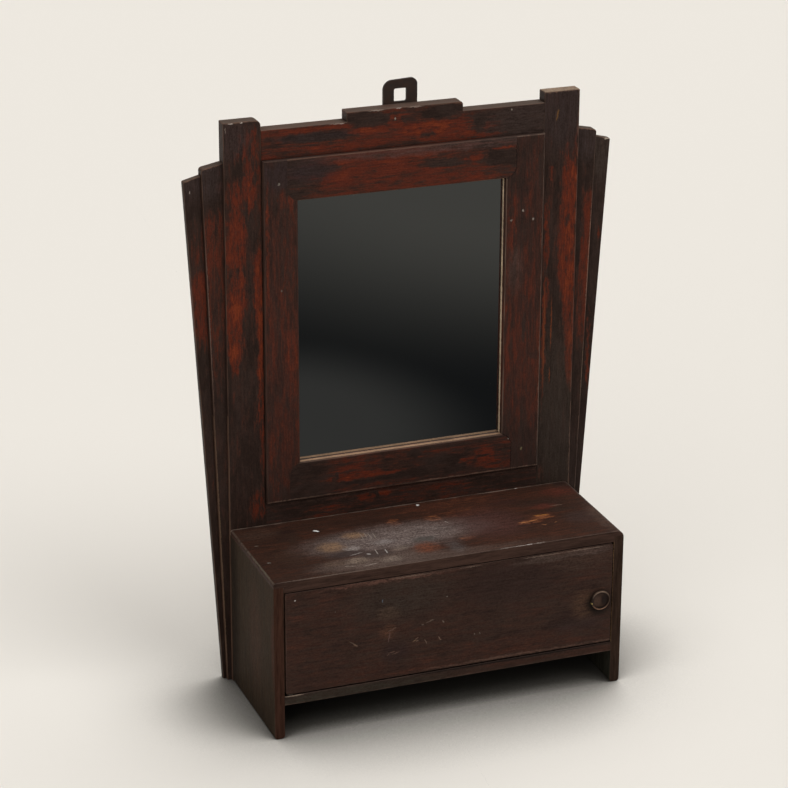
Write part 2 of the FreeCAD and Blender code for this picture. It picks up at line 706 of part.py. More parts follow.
def hanger_plate():
    """A flat iron plate with a squarish hole just above the crest. Its corners are filed round, and its top
    falls to a wider shoulder on the left."""
    half = size_of("( hanger_width / 2 )")
    bottom = f"( {CREST_TOP} - Sizes.hanger_tail )"
    outline = [
        (flip(-1, half), bottom),
        (half, bottom),
        (half, HANGER_TOP),
        (flip(-1, half), f"( {HANGER_TOP} - Sizes.hanger_slope )"),
    ]
    body = board("hanger_plate", outline, BACK, HANGER_BACK)
    half_hole = size_of("( hanger_hole_width / 2 )")
    hole_bottom = f"( {CREST_TOP} + Sizes.hanger_hole_rise )"
    low = (flip(-1, half_hole), BACK, hole_bottom)
    high = (half_hole, HANGER_BACK, f"( {hole_bottom} + Sizes.hanger_hole_height )")
    block(body, "SubtractiveBox", "Hole", low, high)
    for number, (x, z) in enumerate(HANGER_SCREW_PLACES):
        through = (x, BACK, z)
        shank = loose("Sizes.hanger_screw_diameter")
        bore(body, f"Screw{number}", "y", through, shank, "Sizes.hanger_thickness")
        place = (x, HANGER_BACK, z)
        countersink(body, f"Seat{number}", place, "Sizes.hanger_screw_diameter", "Sizes.hanger_screw_head")
    round_edges(body, "HoleRound", "Sizes.hanger_hole_round",
                lambda middle, run: abs(run.y) > TOUCH and near(abs(middle.x), half_hole))
    round_edges(body, "Shoulder", "Sizes.hanger_shoulder",
                lambda middle, run: abs(run.y) > TOUCH and near(middle.x, flip(-1, half))
                and middle.z > value(CREST_TOP))
    round_edges(body, "CornerRound", "Sizes.hanger_corner",
                lambda middle, run: abs(run.y) > TOUCH and near(abs(middle.x), half)
                and (middle.x > 0 or middle.z < value(CREST_TOP)))


hanger_plate()
group("hanger_screws", [
    countersunk_screw(f"HangerScrew{number}", (x, HANGER_BACK, z), "Sizes.hanger_screw_diameter",
                      "Sizes.hanger_screw_head", "Sizes.hanger_screw_length")
    for number, (x, z) in enumerate(HANGER_SCREW_PLACES)
])

# Storage box: two ends that reach the floor, a lapped top, a bottom and a thin back


def worn_end(body):
    """Take the box's top right edge off to an arc that runs over the top board and the box end."""
    round_x = f"( {HALF_BOX} - Sizes.worn_corner )"
    round_z = f"( {BOX_TOP} - Sizes.worn_corner )"
    outline = [
        (round_x, BOX_TOP),
        (HALF_BOX, BOX_TOP),
        (HALF_BOX, round_z, "Sizes.worn_corner", (round_x, round_z)),
    ]
    sketch = draw(body, "WornOutline", outline, "0")
    before = body.Shape.Volume
    pocket = body.newObject("PartDesign::Pocket", "WornEnd")
    pocket.Profile = sketch
    pocket.setExpression("Length", "Sizes.box_depth")
    pocket.Reversed = True
    document.recompute()
    if body.Shape.Volume > before - TOUCH:
        raise RuntimeError("the worn end cuts nothing")


def box_side(name, side):
    """One end of the box, which reaches the floor as a foot worn round, bored for its nails and screws."""
    left, right = sorted((flip(side, BOX_INSIDE), flip(side, HALF_BOX)), key=value)
    worn = "Sizes.foot_round"
    left_sole = f"( {left} + {worn} )"
    right_sole = f"( {right} - {worn} )"
    outline = [
        (left_sole, "0"),
        (right_sole, "0", worn, (right_sole, worn)),
        (right, worn),
        (right, SIDE_TOP),
        (left, SIDE_TOP),
        (left, worn, worn, (left_sole, worn)),
    ]
    body = board(name, outline, BOX_FRONT, "0")
    nail = "Sizes.nail_diameter"
    middle = flip(side, SIDE_MIDDLE)
    for number, row in enumerate(NAIL_ROWS):
        down = size_of("nail_bite")
        bore(body, f"TopNail{number}", "z", (middle, row, f"{SIDE_TOP} - {down}"), loose(nail), down)
        through = size_of("( side_thickness - nail_set )")
        start = flip(-1, f"( {BOX_INSIDE} + {through} )") if side < 0 else BOX_INSIDE
        bore(body, f"BottomNail{number}", "x", (start, row, BOTTOM_MIDDLE), loose(nail), through)
    bite = size_of("case_screw_bite")
    for number, height in enumerate(CASE_SCREW_HEIGHTS):
        start = (middle, f"- {bite}", height)
        bore(body, f"Screw{number}", "y", start, loose("Sizes.case_screw_diameter"), bite)
    if side > 0:
        worn_end(body)
    round_edges(body, "Arris", "Sizes.arris",
                lambda middle, run: near(middle.y, BOX_FRONT) and abs(run.z) > abs(run.x))


def box_top():
    """The top board, its ends cut away below so that they lap over the box ends."""
    outline = [
        (flip(-1, HALF_BOX), SIDE_TOP),
        (flip(-1, BOX_INSIDE), SIDE_TOP),
        (flip(-1, BOX_INSIDE), CEILING),
        (BOX_INSIDE, CEILING),
        (BOX_INSIDE, SIDE_TOP),
        (HALF_BOX, SIDE_TOP),
        (HALF_BOX, BOX_TOP),
        (flip(-1, HALF_BOX), BOX_TOP),
    ]
    body = board("box_top", outline, BOX_FRONT, "0")
    for side in (-1, 1):
        for number, row in enumerate(NAIL_ROWS):
            start = (flip(side, SIDE_MIDDLE), row, SIDE_TOP)
            depth = size_of("( top_lap - nail_set )")
            bore(body, f"Nail{side}_{number}", "z", start, loose("Sizes.nail_diameter"), depth)
    bore(body, "PivotSeat", "z", (PIVOT_X, PIVOT_Y, CEILING), loose("Sizes.pin_diameter"), "Sizes.pin_seat")
    worn_end(body)
    round_edges(body, "SoftCorner", "Sizes.soft_corner",
                lambda middle, run: near(middle.x, flip(-1, HALF_BOX)) and near(middle.z, BOX_TOP))
    round_edges(body, "Arris", "Sizes.arris",
                lambda middle, run: near(middle.y, BOX_FRONT) and near(middle.z, BOX_TOP))


box_side("box_left_side", -1)
box_side("box_right_side", 1)
box_top()

BACK_PANEL_FRONT = size_of("( - box_back_thickness )")
bottom = board(
    "box_bottom",
    rectangle(flip(-1, BOX_INSIDE), BOX_INSIDE, "Sizes.foot_height", FLOOR),
    BOX_FRONT,
    BACK_PANEL_FRONT,
)
for side in (-1, 1):
    bite = size_of("nail_bite")
    start = flip(-1, BOX_INSIDE) if side < 0 else f"{BOX_INSIDE} - {bite}"
    for number, row in enumerate(NAIL_ROWS):
        place = (start, row, BOTTOM_MIDDLE)
        bore(bottom, f"Nail{side}_{number}", "x", place, loose("Sizes.nail_diameter"), bite)
bore(
    bottom,
    "PivotSeat",
    "z",
    (PIVOT_X, PIVOT_Y, f"{FLOOR} - Sizes.pin_seat"),
    loose("Sizes.pin_diameter"),
    "Sizes.pin_seat",
)
round_edges(bottom, "Arris", "Sizes.arris",
            lambda middle, run: near(middle.y, BOX_FRONT) and abs(run.x) > abs(run.z))
board(
    "box_back",
    rectangle(flip(-1, BOX_INSIDE), BOX_INSIDE, "Sizes.foot_height", CEILING),
    BACK_PANEL_FRONT,
    "0",
)

top_nails = []
bottom_nails = []
for side, word in ((-1, "Left"), (1, "Right")):
    for number, row in enumerate(NAIL_ROWS):
        length = size_of("( top_lap - nail_set + nail_bite )")
        start = (flip(side, SIDE_MIDDLE), row, f"{SIDE_TOP} - Sizes.nail_bite")
        top_nails.append(rod(f"{word}TopNail{number}", "z", start, "Sizes.nail_diameter", length))
        reach = f"( {HALF_BOX} - Sizes.nail_set )"
        length = size_of("( side_thickness - nail_set + nail_bite )")
        start_x = flip(-1, reach) if side < 0 else f"{reach} - {length}"
        start = (start_x, row, BOTTOM_MIDDLE)
        bottom_nails.append(rod(f"{word}BottomNail{number}", "x", start, "Sizes.nail_diameter", length))
group("top_nails", top_nails)
group("bottom_nails", bottom_nails)
group("case_screws", [
    countersunk_screw(f"CaseScrew{side}_{number}", (flip(side, SIDE_MIDDLE), BACK, height),
                      "Sizes.case_screw_diameter", "Sizes.case_screw_head",
                      size_of("( post_thickness + case_screw_bite )"))
    for side in (-1, 1)
    for number, height in enumerate(CASE_SCREW_HEIGHTS)
])
board(
    "door_stop",
    rectangle(f"{BOX_INSIDE} - Sizes.stop_width", BOX_INSIDE, FLOOR, CEILING),
    f"{DOOR_BACK} + Sizes.stop_clearance",
    f"{DOOR_BACK} + Sizes.stop_clearance + Sizes.stop_depth",
)

# Door: one board that turns on two headless pins at its left end, with a dished pull at its right end


def running(diameter):
    """The door's hole for a pivot pin, which turns freely on it."""
    return f"{diameter} + 2 * Sizes.pin_clearance"


def door_panel():
    outline = rectangle(DOOR_LEFT, DOOR_RIGHT, DOOR_BOTTOM, DOOR_TOP)
    body = board("door_panel", outline, BOX_FRONT, DOOR_BACK)
    bite = size_of("pin_bite")
    pin_hole = running("Sizes.pin_diameter")
    bore(body, "UpperPivot", "z", (PIVOT_X, PIVOT_Y, f"{DOOR_TOP} - {bite}"), pin_hole, bite)
    bore(body, "LowerPivot", "z", (PIVOT_X, PIVOT_Y, DOOR_BOTTOM), pin_hole, bite)
    front = (PULL_X, BOX_FRONT, PULL_Z)
    bore(body, "PullSeat", "y", front, loose("Sizes.pull_boss"), "Sizes.pull_boss_depth")
    bore(body, "PullScrew", "y", front, loose("Sizes.pull_screw_diameter"), "Sizes.door_thickness")
    round_edges(body, "CornerRound", "Sizes.door_corner",
                lambda middle, run: abs(run.y) > TOUCH
                and ((near(middle.x, DOOR_LEFT) and near(middle.z, DOOR_BOTTOM))
                     or (near(middle.x, DOOR_RIGHT) and near(middle.z, DOOR_TOP))))
    round_edges(body, "HingeArris", "Sizes.hinge_arris",
                lambda middle, run: near(middle.y, BOX_FRONT) and near(middle.x, DOOR_LEFT))
    round_edges(body, "Arris", "Sizes.arris",
                lambda middle, run: near(middle.y, BOX_FRONT) and near(middle.x, DOOR_RIGHT))


def door_pull():
    """A turned brass cup: a raised rim round a dished face, on a boss let into the door."""
    rim = size_of("( pull_diameter / 2 )")
    lip = size_of("( pull_diameter / 2 - pull_rim )")
    boss = size_of("( pull_boss / 2 )")
    hole = f"( ( {loose('Sizes.pull_screw_diameter')} ) / 2 )"
    bite = size_of("( pull_boss_depth - pull_screw_bite )")
    face = size_of("( pull_dish - pull_proud )")
    profile = [
        ("0", face),
        (lip, face),
        (lip, "- Sizes.pull_proud"),
        (rim, "- Sizes.pull_proud"),
        (rim, "0"),
        (boss, "0"),
        (boss, "Sizes.pull_boss_depth"),
        (hole, "Sizes.pull_boss_depth"),
        (hole, bite),
        ("0", bite),
    ]
    body = document.addObject("PartDesign::Body", "door_pull")
    turn = body.newObject("PartDesign::Revolution", "Turning")
    sketch = draw(body, "Profile", profile, "0")
    turn.Profile = sketch
    turn.ReferenceAxis = (sketch, ["V_Axis"])
    turn.Angle = 360
    document.recompute()
    round_edges_of_ring(body, "RimRound", "Sizes.pull_rim_round", rim, lip)
    return body


def round_edges_of_ring(body, name, radius, *ring_radii):
    """Round the circular edges on the rim's front face."""
    base = body.Tip
    front = value("- Sizes.pull_proud")
    picked = [
        f"Edge{number}"
        for number, edge in enumerate(base.Shape.Edges, start=1)
        if isinstance(edge.Curve, Part.Circle) and abs(edge.Curve.Center.z - front) < TOUCH
        and any(near(edge.Curve.Radius, ring) for ring in ring_radii)
    ]
    rounding = body.newObject("PartDesign::Fillet", name)
    rounding.Base = (base, picked)
    rounding.setExpression("Radius", radius)
    document.recompute()


def seat_on_door(piece, setback):
    """Turn a piece drawn about its own Z axis to face the front, and set it at the pull's place."""
    piece.Placement.Rotation = ALONG["y"]
    piece.setExpression("Placement.Base.x", PULL_X)
    piece.setExpression("Placement.Base.y", f"{POST_FRONT} + {BOX_FRONT} + {setback}")
    piece.setExpression("Placement.Base.z", PULL_Z)
    pieces.append(piece)


door_panel()
pull = door_pull()
pull.Label = "door_pull"
seat_on_door(pull, "0")

screw = document.addObject("PartDesign::Body", "pull_screw")
screw.Label = "pull_screw"
shank = screw.newObject("PartDesign::AdditiveCylinder", "Shank")
shank.setExpression("Radius", "Sizes.pull_screw_diameter / 2")
shank.setExpression("Height", size_of("( door_thickness - pull_boss_depth + pull_screw_bite )"))
shank.setExpression("Placement.Base.z", size_of("( pull_boss_depth - pull_screw_bite )"))
head = screw.newObject("PartDesign::AdditiveCylinder", "Head")
head.setExpression("Radius", "Sizes.pull_screw_head / 2")
head.setExpression("Height", "Sizes.pull_screw_head_height")
head.setExpression("Placement.Base.z", "Sizes.door_thickness")
document.recompute()
seat_on_door(screw, "0")

pin_length = size_of("( pin_seat + door_gap + pin_bite )")
for name, start in (
    ("upper_pivot_pin", f"{DOOR_TOP} - Sizes.pin_bite"),
    ("lower_pivot_pin", f"{FLOOR} - Sizes.pin_seat"),
):
    pin = rod(name, "z", (PIVOT_X, f"{POST_FRONT} + {PIVOT_Y}", start), "Sizes.pin_diameter", pin_length)
    pin.Label = name
    pieces.append(pin)

washer_height = size_of("( door_gap - washer_clearance )")
washer = new_piece("Part::Cut", "pivot_washer")
washer.Base = rod("WasherDisc", "z", (PIVOT_X, PIVOT_Y, FLOOR), "Sizes.washer_diameter", washer_height)
washer.Tool = rod("WasherHole", "z", (PIVOT_X, PIVOT_Y, FLOOR), loose("Sizes.pin_diameter"), washer_height)

document.recompute()
for thing in document.Objects:
    if {"Invalid", "Error"} & set(thing.State):
        raise RuntimeError(f"{thing.Label} failed: {thing.State}")
for piece in pieces:
    if piece.Shape.isNull() or not piece.Shape.isValid():
        raise RuntimeError(f"{piece.Label} has no valid shape")

os.makedirs("parts", exist_ok=True)
for piece in pieces:
    piece.Shape.exportStep(os.path.join("parts", f"{piece.Label}.step"))
    print(piece.Label, round(piece.Shape.Volume), len(piece.Shape.Solids))
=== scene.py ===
import math
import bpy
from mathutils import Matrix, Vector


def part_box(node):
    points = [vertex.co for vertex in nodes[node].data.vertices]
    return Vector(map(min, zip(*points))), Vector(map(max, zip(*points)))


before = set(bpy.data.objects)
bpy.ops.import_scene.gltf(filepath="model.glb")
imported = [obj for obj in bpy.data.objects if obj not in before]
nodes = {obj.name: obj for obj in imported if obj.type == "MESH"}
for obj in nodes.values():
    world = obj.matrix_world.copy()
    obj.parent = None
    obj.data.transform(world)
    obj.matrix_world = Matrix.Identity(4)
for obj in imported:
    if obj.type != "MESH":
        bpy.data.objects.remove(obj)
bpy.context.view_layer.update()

from types import SimpleNamespace

import bpy
from mathutils import Matrix, Vector

# Posts: the two upright boards of the back, which stand on the floor. They are softwood, planed square,
# stained red and brushed over with a dark coat that handling has rubbed through along the grain.
MM = 1000
LEFTWARD = (-1, 0, 0)
RIGHTWARD = (1, 0, 0)
FORWARD = (0, -1, 0)
UPWARD = (0, 0, 1)
OUTWARD = {"xz": FORWARD, "xy": UPWARD, "yz": RIGHTWARD}
IN_COLOUR = {"data_type": "RGBA", "out": 2}


def linear(colour):
    """An sRGB hex colour as the linear values that a shader takes."""
    channels = [int(colour[place:place + 2], 16) / 255 for place in (1, 3, 5)]
    return [*(c / 12.92 if c <= 0.04045 else ((c + 0.055) / 1.055) ** 2.4 for c in channels), 1]


def node(tree, kind, inputs=(), out=0, stops=(), **settings):
    """Add a shader node with its settings, fill its inputs with values or links, and give one output."""
    made = tree.nodes.new("ShaderNode" + kind)
    for name, setting in settings.items():
        setattr(made, name, setting)
    for place, (position, shade) in enumerate(stops):
        elements = made.color_ramp.elements
        element = elements[place] if place < 2 else elements.new(position)
        element.position = position
        element.color = shade if hasattr(shade, "__len__") else (shade, shade, shade, 1)
    for name, given in dict(inputs).items():
        if isinstance(given, bpy.types.NodeSocket):
            tree.links.new(given, made.inputs[name])
        else:
            made.inputs[name].default_value = given
    return made.outputs[out]


def new_material(name):
    """An empty material, its tree, and its Principled shader."""
    material = bpy.data.materials.new(name)
    material.use_nodes = True
    return material, material.node_tree, material.node_tree.nodes["Principled BSDF"]


def dress(material, *names):
    """Give pieces of the frame their finish."""
    for name in names:
        for slot in nodes[name].material_slots:
            slot.material = material


def on_face(plane, u, v):
    """Two values on a board's face as a vector, with 0 through the board."""
    return [dict(zip(plane, (u, v))).get(axis, 0) for axis in "xyz"]


def figure(tree, mm, grain, length, width, shift, detail=4, waver=0.4):
    """Noise drawn out along the grain, with the length and width of its streaks in millimetres."""
    scale = [1 / (length if axis == grain else width) for axis in "xyz"]
    start = (shift, 1.7 * shift, 2.9 * shift)
    drawn = node(tree, "Mapping", {"Vector": mm, "Scale": scale, "Location": start})
    settings = {"Scale": 1, "Detail": detail, "Roughness": 0.68, "Distortion": waver}
    return node(tree, "TexNoise", {"Vector": drawn, **settings})


def oval(tree, mm, plane, u, v, half_u, half_v, soft, turn=0):
    """1 inside an oval on a board's face and 0 outside it, with sizes in millimetres and turn in degrees."""
    offset = node(tree, "VectorMath", {0: mm, 1: on_face(plane, u, v)}, operation="SUBTRACT")
    if turn:
        axle = {"xz": "Y_AXIS", "xy": "Z_AXIS", "yz": "X_AXIS"}[plane]
        swing = {"Vector": offset, "Angle": math.radians(turn)}
        offset = node(tree, "VectorRotate", swing, rotation_type=axle)
    stretch = on_face(plane, 1 / half_u, 1 / half_v)
    offset = node(tree, "VectorMath", {0: offset, 1: stretch}, operation="MULTIPLY")
    reach = node(tree, "VectorMath", {0: offset}, out="Value", operation="LENGTH")
    rim = {"Value": reach, "From Min": 1 + soft / 2, "From Max": 1 - soft / 2}
    return node(tree, "MapRange", rim, interpolation_type="SMOOTHSTEP")


# Rubbed stain on softwood: nearly black and dull where the coat is whole, opened by handling into streaks
# of deep red wood, and pale along the edges, from wear and from a painted highlight. Rub goes from the whole
# coat to the barest wood. Film is the haze on a whole coat, and arris is the colour of a worn edge with its
# painted highlight. Drawn is how far, in millimetres, an outline strays along the grain.
STAIN = {
    "name": "rubbed_stain",
    "rub": [
        (0.2, "#2b1f1a"),
        (0.3, "#33231d"),
        (0.38, "#3b241d"),
        (0.46, "#46261c"),
        (0.56, "#50251a"),
        (0.72, "#582618"),
        (0.9, "#5f2817"),
        (1.0, "#6a2e19"),
    ],
    "film": "#372a25",
    "arris": "#614b3e",
    "dust": "#5f5046",
    "dusty": 0.9,
    "gloss": 0.08,
    "uneven": 1,
    "drawn": 26,
    "pores": 0.14,
    "grit": 0.16,
    "speckle": 0.5,
}
# The length and width of the grain's marks, and other lengths, in millimetres. Real pores and grit are a
# tenth of a millimetre wide, too fine to show, so they are drawn wider.
STREAK = (60, 5)
BLOTCH = (50, 24)
FLECK = (12, 3.2)
PORE = (20, 1.7)
GRIT = (2.4, 1.3)
SWAY = 9
STRAY_ACROSS = 8
SWAY_OF_MARKS = 2.5
STRAY_OF_MARKS = (3, 3, 3)
EDGE_WEAR_AND_SHEEN = 2
FACE_RIM = 0.4
GRIME_AND_SHADE_REACH = 4
GRAIN_DEPTH = 0.4
RING_WIDTH = 5
RINGS_DRAWN_OUT = 5
HEART_BEHIND = 40
HEART_LEAN = math.radians(2.5)


def stained_wood(board, grain, plane, seed, finish):
    """A board's material, and what the layers of its finish read: places in millimetres, straight and with
    strayed outlines, the way that a point faces, and the noises of the grain."""
    material, tree, shader = new_material(f"{finish['name']}_{board}")
    place = node(tree, "TexCoord", out="Object")
    facing = node(tree, "TexCoord", out="Normal")
    mm = node(tree, "VectorMath", {0: place, 1: (MM, MM, MM)}, operation="MULTIPLY")
    outlines = []
    stray = [finish["drawn"] if axis == grain else STRAY_ACROSS for axis in "xyz"]
    for width, reach in ((SWAY, stray), (SWAY_OF_MARKS, STRAY_OF_MARKS)):
        sway = node(tree, "TexNoise", {"Vector": mm, "Scale": 1 / width, "Detail": 3}, out="Color")
        sway = node(tree, "VectorMath", {0: sway, 1: (0.5, 0.5, 0.5)}, operation="SUBTRACT")
        outlines.append(node(tree, "VectorMath", {0: sway, 1: reach, 2: mm}, operation="MULTIPLY_ADD"))
    fronting = node(tree, "VectorMath", {0: facing, 1: OUTWARD[plane]}, out="Value", operation="DOT_PRODUCT")
    if plane == "yz":
        fronting = node(tree, "Math", {0: fronting}, operation="ABSOLUTE")
    fleck = figure(tree, mm, grain, *FLECK, seed * 6.1 + 80, detail=5)
    pores = figure(tree, mm, grain, *PORE, seed * 4.7 + 120, detail=3, waver=0.5)
    return SimpleNamespace(
        board=board,
        grain=grain,
        plane=plane,
        finish=finish,
        material=material,
        tree=tree,
        shader=shader,
        mm=mm,
        uneven=outlines[0],
        ragged=outlines[1],
        facing=facing,
        fronting=node(tree, "MapRange", {"Value": fronting, "From Min": 0.5, "From Max": 0.8}),
        streak=figure(tree, mm, grain, *STREAK, seed * 7.3, detail=5),
        blotch=figure(tree, mm, grain, *BLOTCH, seed * 5.9 + 40),
        fleck=fleck,
        pores=pores,
        brushed=node(tree, "Math", {0: fleck, 1: pores}, operation="ADD"),
        grit=figure(tree, mm, grain, *GRIT, seed * 3.3 + 160, detail=1),
    )


def rub_level(wood, along, rubbed):
    """How far the coat is rubbed through: by the stops along the grain, by the ovals, and by the noises."""
    tree = wood.tree
    first, last = along[0][0], along[-1][0]
    distance = node(tree, "SeparateXYZ", {0: wood.mm}, out=wood.grain.upper())
    part = node(tree, "MapRange", {"Value": distance, "From Min": first, "From Max": last})
    stops = [((mark - first) / (last - first), level) for mark, level in along]
    level = node(tree, "ValToRGB", {0: part}, stops=stops)
    patchy = {"Value": wood.fleck, "From Min": 0.36, "From Max": 0.62, "To Min": 0.45, "To Max": 1.3}
    patchy = node(tree, "MapRange", patchy)
    for *outline, change in rubbed:
        spot = oval(tree, wood.uneven, wood.plane, *outline, soft=0.9)
        spot = node(tree, "Math", {0: spot, 1: patchy}, operation="MULTIPLY")
        level = node(tree, "Math", {0: spot, 1: change, 2: level}, operation="MULTIPLY_ADD")
    for noise, strength in ((wood.streak, 0.9), (wood.blotch, 0.5), (wood.fleck, 0.7), (wood.pores, 0.4)):
        centred = node(tree, "Math", {0: noise, 1: 0.5}, operation="SUBTRACT")
        share = {0: centred, 1: strength * wood.finish["uneven"], 2: level}
        level = node(tree, "Math", share, operation="MULTIPLY_ADD")
    return level


def coat_colour(wood, level, rub):
    """The coat or the wood under it, with a grey film in blotches where the coat is whole."""
    tree = wood.tree
    shades = [(at, linear(shade)) for at, shade in wood.finish["rub"]]
    colour = node(tree, "ValToRGB", {0: level}, stops=shades)
    hazy = node(tree, "MapRange", {"Value": wood.blotch, "From Min": 0.42, "From Max": 0.62, "To Max": 0.6})
    coated = node(tree, "Math", {0: 1, 1: rub}, operation="SUBTRACT")
    hazy = node(tree, "Math", {0: hazy, 1: coated}, operation="MULTIPLY")
    return node(tree, "Mix", {0: hazy, 6: colour, 7: linear(wood.finish["film"])}, **IN_COLOUR)


def blooms_over(wood, colour, blooms):
    """Soft ovals of another colour, mottled by the grain: stains and bloom, and some painted light, shade or
    sheen.
    """
    tree = wood.tree
    speckle = wood.finish["speckle"]
    speckled = node(tree, "Math", {0: wood.grit, 1: speckle, 2: wood.brushed}, operation="MULTIPLY_ADD")
    for *outline, shade, strength in blooms:
        spot = oval(tree, wood.uneven, wood.plane, *outline, soft=1.1)
        mottle = {"Value": speckled, "From Min": 0.8 + 0.4 * speckle, "From Max": 1.2 + 0.6 * speckle}
        mottle = node(tree, "MapRange", {**mottle, "To Min": 0.3 * strength, "To Max": 1.25 * strength})
        spot = node(tree, "Math", {0: spot, 1: mottle}, operation="MULTIPLY")
        spot = node(tree, "Math", {0: spot, 1: wood.fronting}, operation="MULTIPLY")
        colour = node(tree, "Mix", {0: spot, 6: colour, 7: linear(shade)}, **IN_COLOUR)
    return colour


def grain_over(wood, colour):
    """Pores and grit, some darker and some paler than what they lie in."""
    for noise, depth in ((wood.pores, wood.finish["pores"]), (wood.grit, wood.finish["grit"])):
        tone = {"Value": noise, "From Min": 0.3, "From Max": 0.7, "To Min": 1 - depth, "To Max": 1 + depth}
        tone = node(wood.tree, "MapRange", tone)
        colour = node(wood.tree, "VectorMath", {0: colour, 1: tone}, operation="MULTIPLY")
    return colour


def dust_over(wood, colour):
    """Dust that has settled on the faces that look up."""
    tree = wood.tree
    upward = node(tree, "SeparateXYZ", {0: wood.facing}, out="Z")
    dusty = {"Value": upward, "From Min": 0.5, "From Max": 0.95, "To Max": wood.finish["dusty"]}
    settled = node(tree, "MapRange", {"Value": wood.fleck, "From Min": 0.3, "From Max": 0.65, "To Min": 0.5})
    dusty = node(tree, "Math", {0: node(tree, "MapRange", dusty), 1: settled}, operation="MULTIPLY")
    return node(tree, "Mix", {0: dusty, 6: colour, 7: linear(wood.finish["dust"])}, **IN_COLOUR)


def worn_and_lit_lines(wood, edges, lines):
    """The way across each pale edge or line, worn and with a painted highlight, its place that way, half its
    width and its colour.
    """
    ends = dict(zip("-+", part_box(wood.board)))
    worn = []
    for axis, end in edges.split():
        across = Vector([float(axis == other) for other in "xyz"])
        worn.append((across, MM * across.dot(Vector(ends[end])), EDGE_WEAR_AND_SHEEN, wood.finish["arris"]))
    for start, end, half, shade in lines:
        run = Vector(on_face(wood.plane, *end)) - Vector(on_face(wood.plane, *start))
        across = run.cross(Vector(OUTWARD[wood.plane])).normalized()
        worn.append((across, across.dot(Vector(on_face(wood.plane, *start))), half, shade))
    return worn


def wear_and_sheen_over(wood, colour, edges, lines):
    """Paler wood on the rounded arrises, worn and with a painted highlight, and, in broken lines, on the
    faces beside the worn edges, some of them painted light.
    """
    tree = wood.tree
    flat = node(tree, "VectorMath", {0: wood.facing}, operation="ABSOLUTE")
    flatness = node(tree, "SeparateXYZ", {0: flat}, out="X")
    for axis in "YZ":
        other = node(tree, "SeparateXYZ", {0: flat}, out=axis)
        flatness = node(tree, "Math", {0: flatness, 1: other}, operation="MAXIMUM")
    arris = node(tree, "MapRange", {"Value": flatness, "From Min": 0.985, "From Max": 0.85})
    reach = {"Value": wood.fleck, "From Min": 0.36, "From Max": 0.68, "To Min": 0.2, "To Max": 1.6}
    reach = node(tree, "MapRange", reach)
    broken = {"Value": wood.streak, "From Min": 0.38, "From Max": 0.6, "To Min": 0.15, "To Max": 0.9}
    broken = node(tree, "MapRange", broken)
    arris = node(tree, "Math", {0: arris, 1: broken}, operation="MULTIPLY")
    colour = node(tree, "Mix", {0: arris, 6: colour, 7: linear(wood.finish["arris"])}, **IN_COLOUR)
    for across, line, half, shade in worn_and_lit_lines(wood, edges, lines):
        away = node(tree, "VectorMath", {0: wood.mm, 1: across}, out="Value", operation="DOT_PRODUCT")
        away = node(tree, "Math", {0: away, 1: line}, operation="SUBTRACT")
        away = node(tree, "Math", {0: away}, operation="ABSOLUTE")
        away = node(tree, "Math", {0: away, 1: reach}, operation="DIVIDE")
        near = node(tree, "MapRange", {"Value": away, "From Min": half, "From Max": half / 2})
        turned = node(tree, "VectorMath", {0: wood.facing, 1: across}, out="Value", operation="DOT_PRODUCT")
        turned = node(tree, "Math", {0: turned}, operation="ABSOLUTE")
        beside = node(tree, "Math", {0: 1, 1: turned}, operation="SUBTRACT")
        near = node(tree, "Math", {0: near, 1: beside}, operation="MULTIPLY")
        near = node(tree, "Math", {0: near, 1: broken}, operation="MULTIPLY")
        colour = node(tree, "Mix", {0: near, 6: colour, 7: linear(shade)}, **IN_COLOUR)
    return colour


def marks_over(wood, colour, marks):
    """Chips, scratches and specks, and some painted glints and shadows, with crisp outlines."""
    tree = wood.tree
    for *outline, turn, shade in marks:
        mark = oval(tree, wood.ragged, wood.plane, *outline, soft=0.7, turn=turn)
        mark = node(tree, "Math", {0: mark, 1: wood.fronting}, operation="MULTIPLY")
        colour = node(tree, "Mix", {0: mark, 6: colour, 7: linear(shade)}, **IN_COLOUR)
    return colour


def growth_rings(wood):
    """Pale early wood going over into dark late wood, 0 to 1, on a board sawn beside the heart of its tree.
    The heart leans, so the rings run out in long arches. At scale 1 the texture has its rings pi / 10
    apart."""
    low, high = (MM * Vector(corner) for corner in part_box(wood.board))
    through = Vector([float(extent == min(high - low)) for extent in high - low])
    along = Vector([float(axis == wood.grain) for axis in "xyz"])
    place = {
        "Vector": wood.mm,
        "Location": (low + high) / 2 + HEART_BEHIND * through,
        "Rotation": HEART_LEAN * along.cross(through),
        "Scale": [RINGS_DRAWN_OUT if axis == wood.grain else 1 for axis in "xyz"],
    }
    place = node(wood.tree, "Mapping", place, vector_type="TEXTURE")
    rings = {"Scale": math.pi / 10 / RING_WIDTH, "Distortion": 3, "Detail": 3, "Detail Scale": 0.3}
    turned = {"wave_type": "RINGS", "rings_direction": wood.grain.upper(), "wave_profile": "SAW"}
    return node(wood.tree, "TexWave", {"Vector": place, **rings}, out="Fac", **turned)


